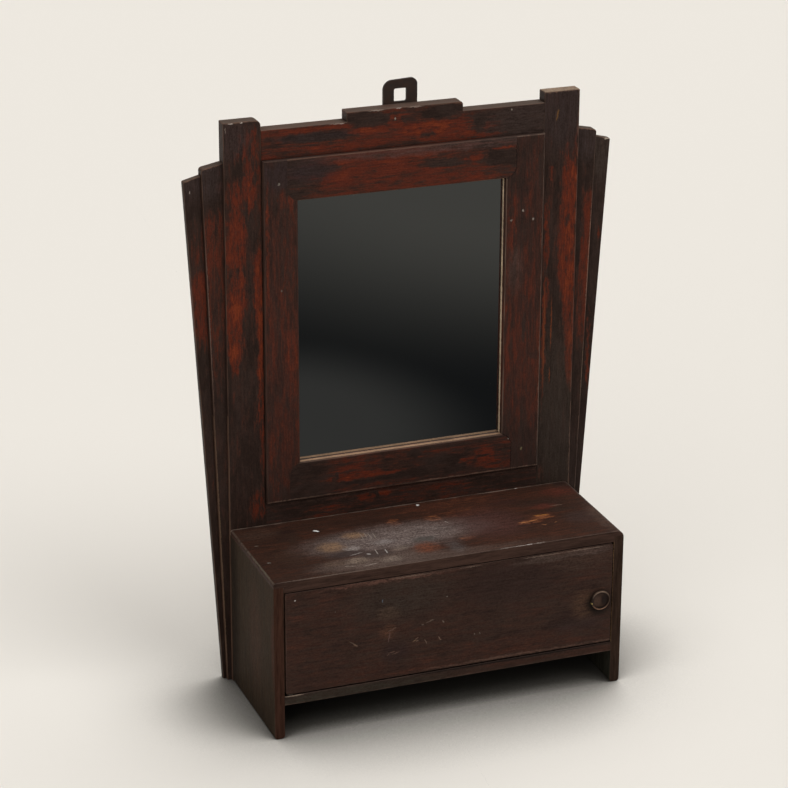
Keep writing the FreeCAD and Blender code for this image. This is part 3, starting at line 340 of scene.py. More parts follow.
def plain_faces_over(wood, colour, rough, bare, raw):
    """Faces without the coat: raw wood with its rings, and over it the faces that have one plain colour,
    some of them painted light or shade.
    """
    tree = wood.tree
    drift = node(tree, "Math", {0: wood.streak, 1: wood.pores}, operation="ADD")
    drift = {"Value": drift, "From Min": 0.76, "From Max": 1.16, "To Max": 1.2}
    plain_tone = node(tree, "MapRange", {**drift, "To Min": 0.55})
    faces = [(*face, plain_tone) for face in bare]
    if raw:
        late = {"Value": growth_rings(wood), "From Min": 0.35, "To Min": 1.1, "To Max": 0.6}
        raw_tone = {0: node(tree, "MapRange", {**drift, "To Min": 0.8}), 1: node(tree, "MapRange", late)}
        raw_tone = node(tree, "Math", raw_tone, operation="MULTIPLY")
        faces = [(*face, raw_tone) for face in raw] + faces
    for towards, shade, *limits, tone in faces:
        turned = node(tree, "VectorMath", {0: wood.facing, 1: towards}, out="Value", operation="DOT_PRODUCT")
        shown = node(tree, "MapRange", {"Value": turned, "From Min": 0.7, "From Max": 0.95})
        for axis, start, stop in limits:
            inward = node(tree, "SeparateXYZ", {0: wood.ragged}, out=axis.upper())
            for rim, side in ((start, FACE_RIM), (stop, -FACE_RIM)):
                within = {"Value": inward, "From Min": rim - side, "From Max": rim + side}
                within = node(tree, "MapRange", within)
                shown = node(tree, "Math", {0: shown, 1: within}, operation="MULTIPLY")
        face_colour = node(tree, "VectorMath", {0: linear(shade)[:3], 1: tone}, operation="MULTIPLY")
        colour = node(tree, "Mix", {0: shown, 6: colour, 7: face_colour}, **IN_COLOUR)
        rough = node(tree, "Mix", {0: shown, 2: rough, 3: 0.75})
    return colour, rough


def worn_stain(
    board,
    grain,
    along,
    rubbed=(),
    blooms=(),
    marks=(),
    edges="",
    lines=(),
    bare=(),
    raw=(),
    seed=0,
    plane="xz",
    finish=STAIN,
):
    """Finish a board as stained wood under a dark coat. How far the coat is rubbed through is given along
    the grain as (millimetres, level) stops, and at single places as ovals with a change of level. Blooms are
    soft ovals of another colour and marks are crisp ones; some of them are painted light, shade, sheen or
    glints. Edges names the board's worn edges, such as x- or z+, and lines adds paler ones: two points on
    its face, half the width and a colour; their paleness is wear with a painted highlight, or painted light.
    Bare lists faces of another colour, some of them painted light or shade: the way that they face, the
    colour and, if they end within the board, an axis and the two places on it. Raw lists, in the same form,
    faces that were never finished and show the wood's rings. Crevices are darkened as painted shade."""
    wood = stained_wood(board, grain, plane, seed, finish)
    tree = wood.tree
    level = rub_level(wood, along, rubbed)
    rub = node(tree, "MapRange", {"Value": level, "From Min": 0.32, "From Max": 0.5})
    colour = coat_colour(wood, level, rub)
    colour = blooms_over(wood, colour, blooms)
    colour = grain_over(wood, colour)
    colour = dust_over(wood, colour)
    colour = wear_and_sheen_over(wood, colour, edges, lines)
    colour = marks_over(wood, colour, marks)
    rough = {"Value": wood.fleck, "From Min": 0.3, "From Max": 0.7, "To Min": 0.42, "To Max": 0.6}
    colour, rough = plain_faces_over(wood, colour, node(tree, "MapRange", rough), bare, raw)
    # Darker in crevices and between parts, by ambient occlusion: painted shade, with some grime in it.
    shelter = node(tree, "AmbientOcclusion", {"Distance": GRIME_AND_SHADE_REACH / MM}, out="AO", samples=8)
    grime = {"Value": shelter, "From Min": 0.3, "From Max": 0.75, "To Min": 0.88, "To Max": 1}
    colour = node(tree, "VectorMath", {0: colour, 1: node(tree, "MapRange", grime)}, operation="MULTIPLY")
    height = node(tree, "Math", {0: rub, 1: -0.4, 2: wood.brushed}, operation="MULTIPLY_ADD")
    bump = node(tree, "Bump", {"Height": height, "Strength": 0.5, "Distance": GRAIN_DEPTH / MM})
    tree.links.new(colour, wood.shader.inputs["Base Color"])
    tree.links.new(rough, wood.shader.inputs["Roughness"])
    tree.links.new(bump, wood.shader.inputs["Normal"])
    wood.shader.inputs["Specular IOR Level"].default_value = finish["gloss"]
    dress(wood.material, board)


UNDER_FLOOR = -1
# The left sides of the left post and inner wing are painted lighter low down and darker higher up, as
# painted light and shade.
PAINTED_LIGHT_TOP = 330
SIDE_PAINTED_LIGHT = "#553f33"
SIDE_PAINTED_SHADE = "#392822"
# Pale specks on the top edges: painted glints.
PAINTED_GLINT = "#9c9087"
RED_STREAK = "#66351f"
worn_stain(
    "left_post",
    "z",
    along=[(0, 0.2), (300, 0.2), (430, 0.28), (560, 0.3), (610, 0.24), (668, 0.22)],
    rubbed=[
        (-178, 628, 10, 32, 0.22),
        (-192, 650, 1.5, 9, 0.35),
        (-187, 632, 1.5, 14, 0.35),
        (-195, 629, 4, 6, 0.3),
        (-190, 588, 20, 16, 0.3),
        (-182, 582, 1.5, 22, 0.35),
        (-197, 530, 11, 42, 0.42),
        (-172, 475, 5, 50, 0.45),
        (-196, 468, 10, 26, 0.38),
        (-200, 430, 10, 40, 0.42),
        (-202, 395, 5, 18, 0.35),
        (-196, 497, 3, 9, -0.4),
        (-170.5, 365, 3.5, 100, 0.5),
        (-173, 380, 4, 15, 0.25),
        (-178, 318, 3, 25, 0.2),
        (-176, 215, 11, 18, 0.35),
    ],
    blooms=[(-200, 650, 18, 22, "#3f312f", 0.6)],
    marks=[
        (-201, 666.6, 3, 0.5, 0, PAINTED_GLINT),
        (-189, 666.8, 1.6, 0.5, 0, PAINTED_GLINT),
        (-207.5, 660, 0.5, 3, 0, "#6f6158"),
    ],
    edges="z+",
    bare=[
        (LEFTWARD, SIDE_PAINTED_LIGHT, ("z", UNDER_FLOOR, PAINTED_LIGHT_TOP)),
        (LEFTWARD, SIDE_PAINTED_SHADE, ("z", PAINTED_LIGHT_TOP, 618)),
    ],
    seed=1,
)
worn_stain(
    "right_post",
    "z",
    along=[(0, 0.18), (330, 0.18), (430, 0.26), (580, 0.26), (668, 0.18)],
    rubbed=[
        (207, 590, 3, 40, 0.35),
        (194, 594, 8, 9, 0.22),
        (199, 572, 9, 12, 0.28),
        (179, 573, 4, 8, 0.22),
        (201, 535, 11, 38, 0.42),
        (200, 470, 11, 45, 0.45),
        (204, 410, 8, 45, 0.48),
        (205, 350, 5, 35, 0.55),
        (208, 322, 2.5, 20, 0.3),
        (199, 516, 3, 5, -0.45),
        (174, 485, 3, 22, 0.4),
        (172.5, 530, 3, 14, 0.3),
        (172.5, 511, 3, 4, 0.35),
        (175, 430, 3.5, 20, 0.3),
        (172, 365, 2.5, 75, 0.45),
        (172, 206, 4, 12, 0.25),
    ],
    blooms=[
        (190, 645, 32, 42, "#372c2a", 0.75),
        (188, 270, 30, 110, "#383029", 0.6),
    ],
    marks=[
        (181.5, 392, 0.6, 30, 0, RED_STREAK),
        (172.6, 378, 0.9, 62, 0, RED_STREAK),
        (181, 328, 0.5, 9, 0, RED_STREAK),
        (183, 640, 0.9, 6, -12, "#5f4327"),
    ],
    edges="x+ z+",
    bare=[(UPWARD, "#8d7865")],
    seed=2,
)

# Rails: the crested board above the mirror and the plain one below it, tenoned into the posts and finished
# with them, so the streaks of wear run across.
PALE_CHIP = "#847a70"
worn_stain(
    "top_rail",
    "x",
    along=[(-167, 0.52), (-60, 0.46), (60, 0.46), (100, 0.34), (125, 0.2), (167, 0.18)],
    rubbed=[
        (-105, 642, 42, 5, -0.35),
        (-45, 658, 28, 8, -0.35),
        (-100, 652, 40, 3, 0.25),
        (-45, 644, 25, 3, 0.35),
        (-12, 652, 8, 8, 0.3),
        (20, 640, 30, 8, 0.35),
        (45, 640, 30, 6, 0.25),
        (26, 634.5, 8, 4, -0.5),
        (45, 658, 25, 8, -0.35),
        (55, 630, 30, 4, 0.25),
        (87, 640, 9, 10, -0.3),
        (101, 638, 16, 4, 0.22),
        (100, 626, 18, 2, 0.3),
        (-60, 630, 50, 4, 0.15),
    ],
    blooms=[(140, 640, 45, 22, "#3b2f2b", 0.7), (-105, 643, 44, 5, "#33292a", 0.4)],
    marks=[
        (-12, 654.5, 0.9, 0.9, 0, PALE_CHIP),
        (127, 651.5, 1, 0.9, 0, PALE_CHIP),
        (-80, 655.2, 8, 0.5, 0, "#7d6c62"),
        (-74, 655, 2.5, 0.5, 0, PAINTED_GLINT),
        # Along the crest's top arris: painted highlights.
        (-34, 666, 9, 0.6, 0, "#85776d"),
        (-8, 666.2, 3, 0.6, 0, PAINTED_GLINT),
        (12, 666, 9, 0.6, 0, "#7d6c62"),
    ],
    edges="z+",
    seed=3,
)
worn_stain(
    "lower_rail",
    "x",
    along=[(-167, 0.22), (-110, 0.28), (-60, 0.36), (60, 0.36), (167, 0.26)],
    rubbed=[
        (-45, 208, 8, 4, 0.3),
        (-24, 210, 7, 4, 0.45),
        (-100, 203, 20, 3, 0.12),
        (-34, 209, 4, 5, -0.3),
    ],
    # A paler band just under the frame's proud lower edge: painted light that lifts the shade which that
    # edge casts.
    blooms=[(0, 215, 190, 4, "#4a3831", 0.6)],
    seed=4,
)

# Wings: two tapering boards on the outer edge of each post, each a step further back and bradded edge to
# edge. The dark coat is whole at their tips and feet, rubbed to the red between, and gone from the edges.
# Pale lines along the wings' step edges: worn arrises, painted lighter still as painted light where the
# steps catch it.
WORN_LIT_TAN = "#5c483d"
PALE_TAN = "#76594a"
TIP_COAT = "#3a2f2d"
INNER_FOOT = (215, 0)
INNER_TIP = (234, 617.3)
INNER_TOP = (210, 622)
OUTER_FOOT = (218.8, 0)
OUTER_TIP = (253.3, 604)
OUTER_TOP = (233.8, 609)


def mirrored(point):
    """A place on a right wing as it is on the left one."""
    return -point[0], point[1]


worn_stain(
    "left_inner_wing",
    "z",
    along=[(0, 0.15), (340, 0.2), (395, 0.38), (440, 0.42), (562, 0.42), (578, 0.22), (622, 0.15)],
    rubbed=[(-224, 540, 6, 30, 0.1), (-214, 600, 3, 40, 0.12), (-220, 390, 4, 25, 0.1)],
    blooms=[(-226, 606, 16, 22, TIP_COAT, 0.7)],
    marks=[(-219.8, 160, 0.9, 150, 1.8, "#5d4a3a"), (-228, 440, 0.7, 90, 1.8, "#5e4a41")],
    lines=[
        (mirrored(INNER_FOOT), mirrored(INNER_TIP), 1, "#51403a"),
        (mirrored(INNER_TOP), mirrored(INNER_TIP), 1.5, PALE_TAN),
    ],
    bare=[
        (LEFTWARD, SIDE_PAINTED_LIGHT, ("z", UNDER_FLOOR, PAINTED_LIGHT_TOP)),
        (LEFTWARD, SIDE_PAINTED_SHADE, ("z", PAINTED_LIGHT_TOP, 612)),
    ],
    seed=5,
)
worn_stain(
    "left_outer_wing",
    "z",
    along=[(0, 0.15), (400, 0.18), (430, 0.48), (490, 0.48), (505, 0.25), (520, 0.42), (622, 0.1)],
    rubbed=[(-249, 530, 3, 25, -0.25), (-236, 455, 8, 40, 0.15), (-243, 570, 12, 8, -0.15)],
    blooms=[(-242, 598, 14, 16, TIP_COAT, 0.6)],
    marks=[(-246, 592, 0.6, 1.2, 0, PAINTED_GLINT)],
    lines=[(mirrored(OUTER_TOP), mirrored(OUTER_TIP), 1.5, PALE_TAN)],
    seed=6,
)
worn_stain(
    "right_inner_wing",
    "z",
    along=[(0, 0.12), (330, 0.15), (380, 0.4), (440, 0.46), (545, 0.35), (560, 0.15), (622, 0.12)],
    rubbed=[
        (214, 500, 4, 60, -0.25),
        (224, 460, 6, 35, 0.2),
        (226, 525, 6, 20, 0.2),
        (224, 390, 5, 30, 0.1),
    ],
    blooms=[(226, 606, 16, 22, TIP_COAT, 0.7)],
    marks=[(229.2, 470, 1.1, 70, -1.8, "#735648"), (225, 330, 0.9, 40, -1.8, "#5f4e3f")],
    lines=[(INNER_FOOT, INNER_TIP, 1.4, WORN_LIT_TAN), (INNER_TOP, INNER_TIP, 1.5, PALE_TAN)],
    seed=7,
)
worn_stain(
    "right_outer_wing",
    "z",
    along=[(0, 0.12), (622, 0.14)],
    rubbed=[(243, 490, 2, 10, 0.4), (233, 350, 2, 60, 0.35)],
    blooms=[(242, 590, 14, 30, "#413731", 0.5)],
    marks=[(249, 604.5, 3, 1.5, 14, "#a89a8b")],
    lines=[(OUTER_FOOT, OUTER_TIP, 1, WORN_LIT_TAN), (OUTER_TOP, OUTER_TIP, 1.6, "#7d6c5e")],
    seed=8,
)

# Mirror frame: two stiles and two rails, rebated and tenoned, planted between the posts and proud of them.
# Deep in the sight edge, next to the glass, the wood was never coated and shows raw.
SIGHT_RIGHT = 120
SIGHT_TOP = 574
SIGHT_BOTTOM = 264
FRAME = {**STAIN, "dust": "#4b3c36", "dusty": 0.6}
# Thinned stain, on the stiles: the same coat gone thin, so that the wood shows as an even dull red with
# fewer black patches.
THINNED = {
    **FRAME,
    "name": "thinned_stain",
    "rub": [
        (0.16, "#2f221d"),
        (0.3, "#36231d"),
        (0.42, "#3e251e"),
        (0.52, "#46261d"),
        (0.62, "#4c261c"),
        (0.8, "#56271a"),
        (1.0, "#642d1b"),
    ],
    "arris": "#45342c",
    "uneven": 1.2,
}
JOINT = "#1b1310"
JOINT_HALF = 0.4
SCRIBE_RADIUS = 16
SCRIBE_IN = 3.6
SCRIBE_UP = 15.6
SCRIBE_HALF = 4
SHOULDER_OUT = 12
SHOULDER_UP = 30
SHOULDER_HALF = 18


def scribed_joint(sight_z, level):
    """Marks along the dark joint between a frame rail's rounded end and the stile scribed to it, at the
    right of the glass: a straight shoulder, and an arc from it to the sight edge."""
    eye_x, eye_z = SIGHT_RIGHT - SCRIBE_IN, sight_z + level * SCRIBE_UP
    shoulder_x, shoulder_z = SIGHT_RIGHT + SHOULDER_OUT, sight_z + level * SHOULDER_UP
    joint = [(shoulder_x, shoulder_z, JOINT_HALF, SHOULDER_HALF, 0, JOINT)]
    for turn in (-24, -45, -66):
        out = SCRIBE_RADIUS * math.cos(math.radians(turn))
        up = SCRIBE_RADIUS * level * math.sin(math.radians(turn))
        turned = math.degrees(math.atan2(up, out))
        joint.append((eye_x + out, eye_z + up, JOINT_HALF, SCRIBE_HALF, turned, JOINT))
    return joint


# A pale line along the frame's lower arris: worn, and painted lighter still as painted light, since the
# arris faces down.
LOWER_EDGE = ((-166, 219.4), (166, 219.4), 1.5, "#6d574b")
worn_stain(
    "frame_left_stile",
    "z",
    along=[(218, 0.3), (260, 0.4), (420, 0.48), (500, 0.36), (560, 0.4), (590, 0.24), (622, 0.2)],
    rubbed=[
        (-162.5, 530, 1.4, 75, 0.35),
        (-140, 575, 10, 10, 0.2),
        (-148, 605, 16, 12, -0.2),
        (-135, 390, 9, 40, 0.15),
        (-160, 285, 6, 20, 0.15),
        (-145, 300, 5, 30, 0.1),
        (-152, 352, 5, 10, -0.15),
        (-140, 225, 14, 12, -0.15),
    ],
    blooms=[(-150, 606, 18, 14, "#362a2b", 0.6)],
    marks=[(-149, 595, 1.1, 1.6, 0, "#6d655c"), (-147, 472, 1, 1.2, 0, "#5a544d")],
    lines=[LOWER_EDGE],
    # Its left side face, painted darker: painted shade.
    bare=[(LEFTWARD, "#3f2d26")],
    seed=11,
    finish=THINNED,
)
worn_stain(
    "frame_right_stile",
    "z",
    along=[(218, 0.15), (250, 0.22), (300, 0.42), (380, 0.5), (440, 0.45), (520, 0.36), (622, 0.26)],
    rubbed=[
        (128, 520, 6, 40, 0.15),
        (147, 560, 4, 40, 0.15),
        (150, 440, 4, 18, 0.15),
        (126, 425, 5, 18, 0.1),
        (145, 392, 2.5, 20, -0.35),
        (158, 358, 6, 7, -0.2),
        (125, 380, 5, 40, 0.12),
    ],
    blooms=[(133, 465, 9, 24, "#4a3a34", 0.5)],
    marks=[
        (141, 534.5, 1.3, 1.5, 0, PALE_CHIP),
        (154, 522.5, 1.3, 1.5, 0, PALE_CHIP),
        (127, 524, 1.6, 1, 0, "#6d655c"),
        (145, 243, 1.4, 1.8, 0, "#6a6046"),
        *scribed_joint(SIGHT_TOP, 1),
        *scribed_joint(SIGHT_BOTTOM, -1),
    ],
    edges="x+",
    lines=[LOWER_EDGE],
    bare=[(LEFTWARD, "#d2b99c", ("y", 70.4, 73.5))],
    seed=12,
    finish={**THINNED, "arris": "#6a584c"},
)
worn_stain(
    "frame_top_rail",
    "x",
    along=[(-150, 0.2), (-125, 0.28), (-95, 0.5), (0, 0.56), (60, 0.46), (132, 0.36)],
    rubbed=[
        (-100, 606, 30, 6, -0.22),
        (-75, 596, 30, 10, 0.15),
        (-75, 613, 14, 3, 0.2),
        (-20, 603, 30, 8, 0.15),
        (20, 612, 25, 3, 0.2),
        (45, 600, 28, 5, -0.3),
        (110, 600, 22, 8, -0.3),
        (85, 603, 12, 4, 0.25),
        (115, 610.5, 12, 1.2, 0.4),
        (55, 582, 40, 6, 0.12),
    ],
    blooms=[(40, 618, 130, 6, "#4c3c38", 0.6), (-112, 606, 26, 12, "#35292a", 0.6)],
    marks=scribed_joint(SIGHT_TOP, 1),
    seed=13,
    finish=FRAME,
)
worn_stain(
    "frame_bottom_rail",
    "x",
    along=[(-150, 0.15), (-105, 0.2), (-85, 0.4), (0, 0.4), (40, 0.3), (132, 0.36)],
    rubbed=[
        (-60, 238, 28, 5, 0.3),
        (-20, 236, 25, 3, 0.2),
        (-60, 250, 20, 5, 0.1),
        (-85, 240, 4, 5, -0.3),
        (-40, 231, 45, 4, -0.25),
        (14, 256, 7, 5, -0.35),
        (45, 243, 20, 6, -0.25),
        (10, 232, 30, 5, -0.25),
        (75, 237, 8, 3, 0.25),
        (100, 242, 14, 10, 0.25),
        (110, 230, 22, 8, 0.2),
        (95, 241, 8, 1.5, -0.35),
        (60, 230, 12, 6, -0.2),
    ],
    marks=[(129, 258, 1, 1, 0, PALE_CHIP), *scribed_joint(SIGHT_BOTTOM, -1)],
    lines=[LOWER_EDGE],
    bare=[(UPWARD, "#a28268", ("y", 65.5, 70.7))],
    seed=14,
    finish=FRAME,
)

# Mirror glass: one plain silvered sheet that lies in the frame's rebate, with a board behind it. It is
# clean but old, so what it shows is a little dark and soft.
SMEAR_WIDTH = 60


def old_mirror(name):
    """Silvered glass: a clear picture of what faces it, greyed by the old silver and softened by smears."""
    material, tree, shader = new_material(name)
    place = node(tree, "TexCoord", out="Object")
    smear = node(tree, "TexNoise", {"Vector": place, "Scale": MM / SMEAR_WIDTH, "Detail": 3})
    haze = {"Value": smear, "From Min": 0.35, "From Max": 0.7, "To Min": 0.02, "To Max": 0.05}
    tree.links.new(node(tree, "MapRange", haze), shader.inputs["Roughness"])
    shader.inputs["Base Color"].default_value = linear("#d5d6d4")
    shader.inputs["Metallic"].default_value = 1
    return material


dress(old_mirror("silvered_glass"), "mirror_glass")

# Hardware: the iron plate that hangs the mirror, cut and filed from flat bar and screwed behind the crest,
# and the steel brads, nails, screws and pins that hold the boards.
RUST_SPOT = 6


def plain_metal(name, colour, dirt, metallic, rough):
    """Small hardware, cut from bar or wire: a soft sheen that spots of rust and dirt break up."""
    material, tree, shader = new_material(name)
    place = node(tree, "TexCoord", out="Object")
    grime = node(tree, "TexNoise", {"Vector": place, "Scale": MM / RUST_SPOT, "Detail": 5})
    share = node(tree, "MapRange", {"Value": grime, "From Min": 0.35, "From Max": 0.65})
    mixed = node(tree, "Mix", {0: share, 6: linear(colour), 7: linear(dirt)}, **IN_COLOUR)
    tree.links.new(mixed, shader.inputs["Base Color"])
    dull = node(tree, "MapRange", {"Value": grime, "To Min": rough - 0.1, "To Max": rough + 0.15})
    tree.links.new(dull, shader.inputs["Roughness"])
    shader.inputs["Metallic"].default_value = metallic
    return material


# Rusted iron is nearly black and hardly shines. Dull steel is grey, and brown where it is dirty.
iron = plain_metal("rusted_iron", "#2e2521", "#3d2a20", 0.4, 0.6)
steel = plain_metal("dull_steel", "#5d5a55", "#41352b", 0.9, 0.45)
dress(iron, "hanger_plate", "hanger_screws")
dress(steel, "wing_brads", "glazing_brads", "top_nails", "bottom_nails", "case_screws", "pull_screw")
dress(steel, "upper_pivot_pin", "lower_pivot_pin", "pivot_washer")

# Box: two ends whose feet stand on the floor, a bottom board between them and a lid nailed over them, all
# stained dark brown. The ends have gone duller and greener than the front, and are painted a little darker
# as painted shade; the lid has a waxy bloom with a painted sheen on it.
DOWNWARD = (0, 0, -1)
sill_low, sill_high = (MM * Vector(corner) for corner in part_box("box_bottom"))
lid_high = MM * Vector(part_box("box_top")[1])
# Dark stain: an even brown, waxed and then dulled, with fine grain in it and little red.
BOX = {
    "name": "dark_stain",
    "rub": [
        (0.15, "#291d1a"),
        (0.36, "#33241e"),
        (0.52, "#3a261f"),
        (0.72, "#472a20"),
        (0.9, "#603722"),
        (1.0, "#7a4a30"),
    ],
    "film": "#3b2e27",
    "arris": "#51423a",
    "dust": "#40322b",
    "dusty": 0.3,
    "gloss": 0.05,
    "uneven": 0.7,
    "drawn": 16,
    "pores": 0.2,
    "grit": 0.2,
    "speckle": 0.8,
}
# Raw softwood, planed and left bare: a dull grey tan with the arches of the growth rings.
RAW_BOARD = "#8c6f52"
# Nearly black, for the faces in the gap round the door and under the lid: dirt and painted shade.
GAP_DIRT_AND_SHADE = "#140e0c"
# Where the gap round the door, and then the inside of the box, begin and end from front to back.
GAP_PLACE = (-84.5, -72)
INSIDE = (-72, 60)
# The ends: duller and greener than the front, and a shade darker, which is painted shade.
ENDS = {
    **BOX,
    "rub": [(0.15, "#292119"), (0.4, "#372d24"), (0.6, "#3e3127"), (0.8, "#493329"), (1.0, "#5f3d2f")],
    "film": "#393027",
    "arris": "#46382f",
    "gloss": 0.01,
}
UPRIGHT_COAT = [(0, 0.42), (191, 0.46)]
for board, inward, front, seed in (
    ("box_left_side", RIGHTWARD, "#3a261e", 25),
    ("box_right_side", LEFTWARD, "#33261f", 23),
):
    worn_stain(
        board,
        "z",
        UPRIGHT_COAT,
        # The darkest bloom, at the back of each end, is painted shade from the tall back.
        blooms=[
            (-20, 96, 20, 60, "#4b362d", 0.5),
            (62, 95, 20, 120, "#221d1a", 0.8),
            (-84, 110, 8, 45, "#492c23", 0.7),
        ],
        edges="z+",
        raw=[(inward, RAW_BOARD, ("z", sill_high.z, lid_high.z))],
        bare=[
            (inward, GAP_DIRT_AND_SHADE, ("y", *GAP_PLACE)),
            # The feet's inner faces below the sill, dark grey: painted shade.
            (inward, "#2e2c25", ("z", UNDER_FLOOR, sill_low.z)),
            (FORWARD, front),
        ],
        seed=seed,
        plane="yz",
        finish=ENDS,
    )
worn_stain(
    "box_bottom",
    "x",
    along=[(-210, 0.22), (0, 0.36), (210, 0.46)],
    blooms=[(-120, 44, 110, 7, "#312d26", 0.8)],
    # The dark line along the sill's front top edge is painted shade in the gap under the door.
    marks=[(80, 51.4, 130, 1.6, 0, "#1d1613"), (-187, 51.3, 11, 0.7, 0, "#796a5d")],
    edges="z-",
    raw=[(UPWARD, RAW_BOARD, ("y", *INSIDE))],
    bare=[(UPWARD, GAP_DIRT_AND_SHADE, ("y", *GAP_PLACE))],
    seed=23,
    finish=BOX,
)
LID = {
    **BOX,
    "rub": [
        (0.15, "#2a1b17"),
        (0.36, "#34221b"),
        (0.52, "#3b241b"),
        (0.72, "#4a2a1f"),
        (0.9, "#633a24"),
        (1.0, "#7c4c31"),
    ],
    "film": "#3a2a22",
    "arris": "#5c4e45",
    "dusty": 0.12,
    "uneven": 0.9,
    "grit": 0.26,
    "speckle": 1.1,
}
worn_stain(
    "box_top",
    "x",
    along=[(-210, 0.42), (-100, 0.44), (60, 0.52), (150, 0.5), (210, 0.44)],
    rubbed=[
        (-28, 25, 7, 9, 0.45),
        (18, 20, 9, 8, 0.4),
        (60, 25, 26, 12, 0.2),
        (60, 50, 90, 16, 0.12),
        (35, -43, 9, 7, 0.25),
        (138, -19, 13, 6, 0.5),
        (119, -28, 14, 5, 0.45),
        (144, 4, 7, 5, 0.2),
        (-155, 30, 12, 18, -0.2),
        (165, -6, 18, 6, -0.3),
        (200, 60, 14, 12, -0.25),
    ],
    # The pale grey blooms on the left half of the lid are painted sheen, a painted reflection over the waxy
    # bloom; the ochre and red patches are worn finish.
    blooms=[
        (-42, -14, 92, 30, "#7b6e69", 0.85),
        (-84, -67, 62, 18, "#6b5c54", 0.75),
        (-20, -78, 60, 12, "#5c4e47", 0.6),
        (75, -14, 38, 36, "#4f3431", 0.6),
        (-118, -16, 14, 12, "#87694f", 0.8),
        (-84, 6, 12, 8, "#8d6e53", 0.8),
        (-108, -38, 22, 8, "#38302f", 0.8),
        (-78, -50, 20, 8, "#3f3634", 0.8),
        (-96, -27, 9, 5, "#958a84", 0.8),
        (-58, -22, 12, 6, "#8b817d", 0.7),
        (-104, -60, 12, 7, "#837264", 0.8),
        (-66, -68, 12, 6, "#7c6d62", 0.7),
        (-46, -44, 10, 6, "#77695f", 0.7),
        (-128, -58, 12, 8, "#5f4c40", 0.6),
        (-18, -52, 13, 13, "#6b3e2c", 0.85),
        (-12, -30, 14, 7, "#43433f", 0.7),
        (14, -62, 10, 15, "#55504e", 0.6),
        (200, -45, 9, 42, "#5c4b42", 0.4),
        (40, -78, 80, 9, "#54433b", 0.5),
        (150, 18, 26, 10, "#33241f", 0.6),
        (176, -34, 18, 14, "#3b2e2b", 0.6),
        (112, 36, 20, 9, "#3c2622", 0.5),
        (-170, -30, 18, 20, "#3a2a22", 0.5),
        (-185, 45, 22, 14, "#46352c", 0.5),
        (186, 42, 20, 12, "#57291f", 0.6),
        (150, 8, 14, 7, "#5a2b22", 0.6),
    ],
    marks=[
        # The dark mark is a painted shadow under the white fleck of paint that follows.
        (-118.6, 30.2, 3.8, 1.3, 42, "#1c1411"),
        (-119.5, 32.4, 3.3, 1.5, 42, "#eceae6"),
        (15, 61.5, 1.7, 2.2, 15, "#d4d1cc"),
        (29, 4, 0.5, 4, -20, "#8d827b"),
        (-196, 16, 2.5, 0.6, 5, "#63594f"),
        (-197, -31, 2.2, 0.7, 20, "#77756e"),
        (-76, 0, 0.5, 9, 4, "#85796f"),
        (-71, 2, 0.5, 7, 4, "#85796f"),
        (-67, -2, 0.5, 9, 4, "#85796f"),
        (-62, -3, 0.5, 8, 4, "#85796f"),
        # Pale specks in the sheen: painted glints.
        (-85, -47, 2.4, 1.2, 20, "#a39c96"),
        (-75, -44, 0.6, 7, 4, "#948a82"),
        (-64, -46, 0.8, 5, 4, "#a39c96"),
        (-98, -42, 8, 0.7, -14, "#8f8680"),
        (-116, -70, 6, 0.6, 20, "#85786e"),
        (-92, -74, 9, 0.6, -10, "#8f8278"),
        # Along the front edge, a worn pale rim at the left and a worn line along the left end, then painted
        # glints.
        (-150, -84.4, 55, 0.7, 0, "#5a4c43"),
        (-209, -40, 0.9, 42, 0, "#595044"),
        (66, -84.6, 9, 0.45, 0, "#7d736c"),
        (82, -84.7, 7, 0.5, 0, "#928982"),
        (93, -84.6, 4, 0.55, 0, "#aea6a0"),
        (106, -84.7, 7, 0.45, 0, "#857b74"),
        # A painted glint on the back edge.
        (141, 67.4, 1.8, 0.8, 0, "#b5aaa3"),
        (112, -26.5, 7, 1, 8, "#a06a42"),
        (124, -25, 5, 0.9, -10, "#a06a42"),
        (138, -14, 9, 1, 6, "#95602f"),
        (118, -30, 3, 0.9, 30, "#33201a"),
        (109, -30.5, 2, 0.8, -20, "#33201a"),
        (131, -40, 3, 0.7, 20, "#7d5236"),
        (146, -38, 2.2, 0.7, -25, "#7d5236"),
        (166, 6, 8, 0.6, 4, "#6d584b"),
    ],
    edges="y-",
    lines=[((-205, 67.6), (205, 67.6), 1.6, "#7a6a5f")],
    raw=[(DOWNWARD, RAW_BOARD, ("y", *INSIDE))],
    bare=[(FORWARD, "#3c2b24")],
    plane="xy",
    seed=21,
    finish=LID,
)

# Back boards: two thin boards that close the box and the frame from behind. They were never finished, so
# they are bare wood gone grey-brown.
BACKWARD = (0, 1, 0)
EVEN_COAT = [(-210, 0.4), (210, 0.4)]
BARE_BOARD = {**BOX, "name": "raw_softwood"}
BOTH_FACES = [(FORWARD, RAW_BOARD), (BACKWARD, RAW_BOARD)]
worn_stain("box_back", "x", EVEN_COAT, raw=BOTH_FACES, seed=26, finish=BARE_BOARD)
worn_stain("mirror_back_board", "z", EVEN_COAT, raw=BOTH_FACES, seed=27, finish=BARE_BOARD)
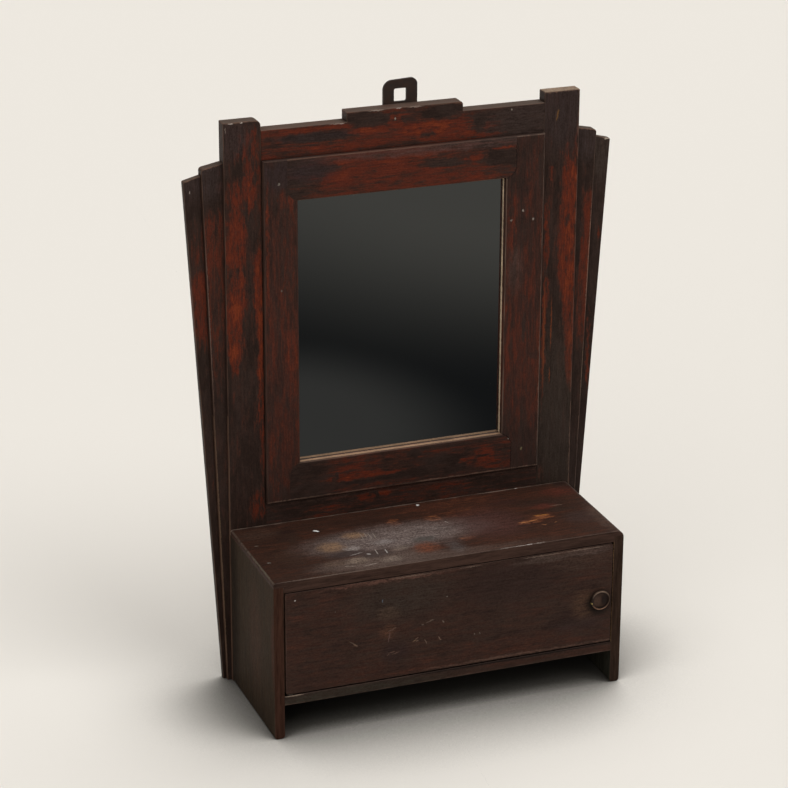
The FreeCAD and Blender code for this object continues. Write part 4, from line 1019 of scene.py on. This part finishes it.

# Door: one wide board across the whole front, stained with the box, which turns on two pins at its left
# end and closes on a small block. The gap round it is painted nearly black, as dirt and painted shade.
worn_stain("door_stop", "z", UPRIGHT_COAT, seed=28, finish=BOX)
worn_stain(
    "door_panel",
    "x",
    EVEN_COAT,
    rubbed=[
        (-170, 110, 45, 75, 0.06),
        (100, 68, 100, 12, 0.12),
        (-60, 62, 60, 10, 0.08),
        (150, 90, 40, 20, -0.1),
    ],
    blooms=[
        (-60, 150, 55, 24, "#352c26", 0.8),
        (70, 148, 58, 26, "#30231f", 0.85),
        (160, 160, 36, 12, "#46362e", 0.4),
        (162, 104, 14, 18, "#513a2b", 0.5),
        (-67, 84, 15, 11, "#2f2321", 0.7),
        (155, 82, 30, 8, "#2f2321", 0.6),
        (-75, 134, 12, 7, "#4b3a2f", 0.6),
        (-75, 112, 8, 8, "#54382b", 0.6),
        (90, 56, 110, 1.8, "#5a443a", 0.7),
        # Pale bands along the top edge, under the gap: wear with a painted highlight.
        (-80, 174, 70, 2.5, "#5f4238", 0.6),
        (112, 170, 34, 4, "#51433c", 0.6),
        (170, 171, 26, 4, "#554640", 0.5),
    ],
    marks=[
        (-185, 167, 0.9, 0.9, 0, "#a39c96"),
        (-115, 101, 3.2, 0.7, -40, "#654f42"),
        (-119, 104.5, 4, 0.5, -35, "#54453b"),
        (-139, 146, 0.6, 0.6, 0, "#6e625a"),
        (-73, 112.3, 3.4, 0.6, 10, "#5c483d"),
        (-69, 114.2, 2.4, 0.5, 20, "#58453b"),
        (-75, 104, 0.5, 6, -8, "#54403a"),
        (-72, 85, 4, 0.6, 6, "#543f35"),
        (-67, 83.4, 4.5, 0.5, 14, "#543f35"),
        (-76, 82.5, 1.8, 0.5, 30, "#543f35"),
        (-44.5, 94.5, 2.5, 0.5, 15, "#65503f"),
        (-42, 97, 2.2, 0.5, 30, "#604c40"),
        (-41, 94.3, 1.6, 0.5, 10, "#604c40"),
        (-31.5, 92, 0.5, 2.4, 25, "#5e4c41"),
        (-30.5, 90, 0.5, 1.6, 5, "#5e4c41"),
        (-15, 93, 0.6, 2.4, 30, "#685346"),
        (-13.6, 91.2, 0.5, 1.8, 45, "#685346"),
        (-28, 115.5, 3, 0.5, 10, "#594a40"),
        (-24, 116.8, 2.2, 0.6, 5, "#5f5046"),
        (-35, 113, 1.4, 0.6, 0, "#5c4f46"),
        (-10, 113, 0.7, 1.4, 25, "#66584e"),
        (28, 91, 0.7, 0.7, 0, "#74665c"),
        (34, 90.5, 0.6, 1.2, 20, "#6c5d53"),
        (-6, 143, 0.9, 0.6, 0, "#625850"),
        (-83, 150, 0.6, 2, 0, "#50545a"),
        # A dark ring round the pull: dirt and the pull's painted shadow.
        (181, 105.2, 15.2, 15, 0, "#1c1511"),
        # A dark line along the bottom edge: painted shade in the gap above the sill.
        (80, 53.6, 125, 0.8, 0, "#241b17"),
        # Pale lines on the top arris: wear with a painted highlight.
        (-48, 175, 24, 0.5, 0, "#665449"),
        (22, 175, 12, 0.5, 0, "#5f4e44"),
        (112, 174.8, 24, 0.6, 0, "#66564c"),
        (164, 174.8, 24, 0.6, 0, "#6a5a50"),
        # Painted shade in the gap at the hinged end.
        (-198, 163, 1.2, 2, 0, GAP_DIRT_AND_SHADE),
        (-198, 115, 1.2, 2.2, 0, GAP_DIRT_AND_SHADE),
        (-197.5, 58, 1, 6, 0, GAP_DIRT_AND_SHADE),
    ],
    edges="z-",
    raw=[(BACKWARD, RAW_BOARD)],
    bare=[(UPWARD, GAP_DIRT_AND_SHADE)],
    seed=22,
    finish={**BOX, "arris": "#47372f"},
)

# Pull: a turned brass dish let into the door's right end and held by a screw from inside. It has gone
# brown, and its rim carries painted highlights above and below.
DIRT_SPOT = 3


def tarnished_brass(name, low, high):
    """Turned brass gone brown: as dull as the wood, with dirt and painted shade round the bottom of the
    dish, painted light and shade across the dish and on the rim's left, painted highlights on the rim above
    and below, and one bright bare spot at the left."""
    material, tree, shader = new_material(name)
    place = node(tree, "TexCoord", out="Object")
    mm = node(tree, "VectorMath", {0: place, 1: (MM, MM, MM)}, operation="MULTIPLY")
    eye = [MM * (near + far) / 2 for near, far in zip(low, high)]
    offset = node(tree, "VectorMath", {0: mm, 1: eye}, operation="SUBTRACT")
    offset = node(tree, "VectorMath", {0: offset, 1: (1, 0, 1)}, operation="MULTIPLY")
    out = node(tree, "VectorMath", {0: offset}, out="Value", operation="LENGTH")
    part = node(tree, "MapRange", {"Value": out, "From Max": MM * (high[0] - low[0]) / 2})
    # Rings out from the middle: the dark one round the bottom of the dish is dirt and painted shade.
    rings = [(0, "#3a2920"), (0.72, "#33231b"), (0.81, "#1a120f"), (0.89, "#3c2d23"), (1, "#3f3026")]
    colour = node(tree, "ValToRGB", {0: part}, stops=[(at, linear(shade)) for at, shade in rings])
    # Painted light on the dish's left, painted shade on its right and on the rim's left, then the bare spot.
    for *outline, shade in (
        (-4, -1, 5, 6, "#433128"),
        (5, 0, 4, 6.5, "#201613"),
        (-10.5, 2, 2.5, 7, "#241915"),
        (-11.2, -2.6, 0.8, 0.9, "#bfa766"),
    ):
        spot = oval(tree, offset, "xz", *outline, soft=0.9)
        colour = node(tree, "Mix", {0: spot, 6: colour, 7: linear(shade)}, **IN_COLOUR)
    # Painted highlights on the rim, above and below.
    rim = node(tree, "ValToRGB", {0: part}, stops=[(0.85, 0), (0.91, 1), (0.94, 1), (1, 0)])
    up = node(tree, "SeparateXYZ", {0: offset}, out="Z")
    for side, shade in ((1, "#857061"), (-1, "#8d6a55")):
        arc = node(tree, "MapRange", {"Value": up, "From Min": 3 * side, "From Max": 11 * side})
        arc = node(tree, "Math", {0: arc, 1: rim}, operation="MULTIPLY")
        colour = node(tree, "Mix", {0: arc, 6: colour, 7: linear(shade)}, **IN_COLOUR)
    grime = node(tree, "TexNoise", {"Vector": mm, "Scale": 1 / DIRT_SPOT, "Detail": 4})
    share = node(tree, "MapRange", {"Value": grime, "From Min": 0.45, "From Max": 0.75, "To Max": 0.5})
    mixed = node(tree, "Mix", {0: share, 6: colour, 7: linear("#2b2019")}, **IN_COLOUR)
    tree.links.new(mixed, shader.inputs["Base Color"])
    dull = node(tree, "MapRange", {"Value": grime, "To Min": 0.35, "To Max": 0.6})
    tree.links.new(dull, shader.inputs["Roughness"])
    shader.inputs["Metallic"].default_value = 0.1
    shader.inputs["Specular IOR Level"].default_value = 0.12
    return material


dress(tarnished_brass("tarnished_brass", *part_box("door_pull")), "door_pull")

# Floor: a plain pale studio floor. A dark card lies on it in front of the object, out of the picture, and
# is seen only in reflections, in the glass and in the wood's faint shine, which would else show nothing but
# white. Their lengths are in metres.
FLOOR_REACH = 80
SHADE_REACH = 0.2
CARD_PLACE = (0.6, -1.9, 0.004)
CARD_SIZE = (5, 3.2, 1, 1)
bpy.ops.object.select_all(action="DESELECT")
bpy.ops.mesh.primitive_circle_add(vertices=64, radius=FLOOR_REACH, fill_type="NGON")
floor = bpy.context.object
floor.name = "studio_floor"
# Pale paper, matt: an even warm white, greyed under the object where little light gets in.
paper, paper_tree, paper_shader = new_material("pale_paper")
sheltered = node(paper_tree, "AmbientOcclusion", {"Distance": SHADE_REACH}, out="AO", samples=8)
sheltered = node(paper_tree, "MapRange", {"Value": sheltered, "From Min": 0.35, "From Max": 0.9})
paper_shades = {0: sheltered, 6: linear("#4b4843"), 7: linear("#e9e4dc")}
paper_tree.links.new(node(paper_tree, "Mix", paper_shades, **IN_COLOUR), paper_shader.inputs["Base Color"])
paper_shader.inputs["Roughness"].default_value = 1
paper_shader.inputs["Specular IOR Level"].default_value = 0
floor.data.materials.append(paper)

bpy.ops.mesh.primitive_plane_add(size=1)
card = bpy.context.object
card.name = "dark_card"
card.data.transform(Matrix.Translation(CARD_PLACE) @ Matrix.Diagonal(CARD_SIZE))
card.visible_camera = False
card.visible_diffuse = False
card.visible_shadow = False
card.visible_transmission = False
# Dark felt: nearly black with two soft grey patches, painted reflections of a room, so that the glass has
# some depth. It glows by itself at the level that it should show, whatever the lamps do.
felt, felt_tree, _ = new_material("dark_felt")
felt_place = node(felt_tree, "TexCoord", out="Object")
felt_mm = node(felt_tree, "VectorMath", {0: felt_place, 1: (MM, MM, MM)}, operation="MULTIPLY")
felt_colour = linear("#191a1b")
for x, y, half_x, half_y, shade in ((950, -1700, 700, 800, "#4a4946"), (120, -650, 190, 260, "#393938")):
    pale = oval(felt_tree, felt_mm, "xy", x, y, half_x, half_y, soft=1)
    felt_colour = node(felt_tree, "Mix", {0: pale, 6: felt_colour, 7: linear(shade)}, **IN_COLOUR)
glow = node(felt_tree, "Emission", {"Color": felt_colour, "Strength": 1})
felt_tree.links.new(glow, felt_tree.nodes["Material Output"].inputs["Surface"])
card.data.materials.append(felt)

# Light and camera: three broad soft lamps, from overhead, the front right and the front left, in an even
# room. The camera stands to the left of the object and looks down on it.
world = bpy.data.worlds.new("studio")
world.use_nodes = True
world.node_tree.nodes["Background"].inputs["Color"].default_value = linear("#f4f2ee")
world.node_tree.nodes["Background"].inputs["Strength"].default_value = 0.2
bpy.context.scene.world = world
for name, towards, spread, strength in (
    ("overhead_lamp", Vector((0.3, 0.3, 1.0)), 40, 1.2),
    ("key_lamp", Vector((0.5, -0.6, 1.0)), 40, 1.2),
    ("fill_lamp", Vector((-0.75, -0.65, 0.9)), 60, 1.0),
):
    lamp = bpy.data.lights.new(name, "SUN")
    lamp.angle = math.radians(spread)
    lamp.energy = strength
    holder = bpy.data.objects.new(name, lamp)
    holder.rotation_euler = towards.to_track_quat("Z", "Y").to_euler()
    bpy.context.scene.collection.objects.link(holder)

PHOTO_SIDE = 788
FOCAL_PIXELS = 2810.5
STANDPOINT = (-1.0707, -2.7228, 1.4927)
YAW = math.radians(20.770)
PITCH = math.radians(21.276)
ROLL = math.radians(-0.242)
view = bpy.data.cameras.new("camera")
view.sensor_width = 36
view.lens = view.sensor_width * FOCAL_PIXELS / PHOTO_SIDE
camera = bpy.data.objects.new("camera", view)
camera.location = STANDPOINT
aim = Matrix.Rotation(-YAW, 3, "Z") @ Matrix.Rotation(math.pi / 2 - PITCH, 3, "X")
camera.rotation_euler = (aim @ Matrix.Rotation(-ROLL, 3, "Z")).to_euler()
bpy.context.scene.collection.objects.link(camera)
bpy.context.scene.camera = camera
bpy.context.scene.view_settings.view_transform = "Standard"
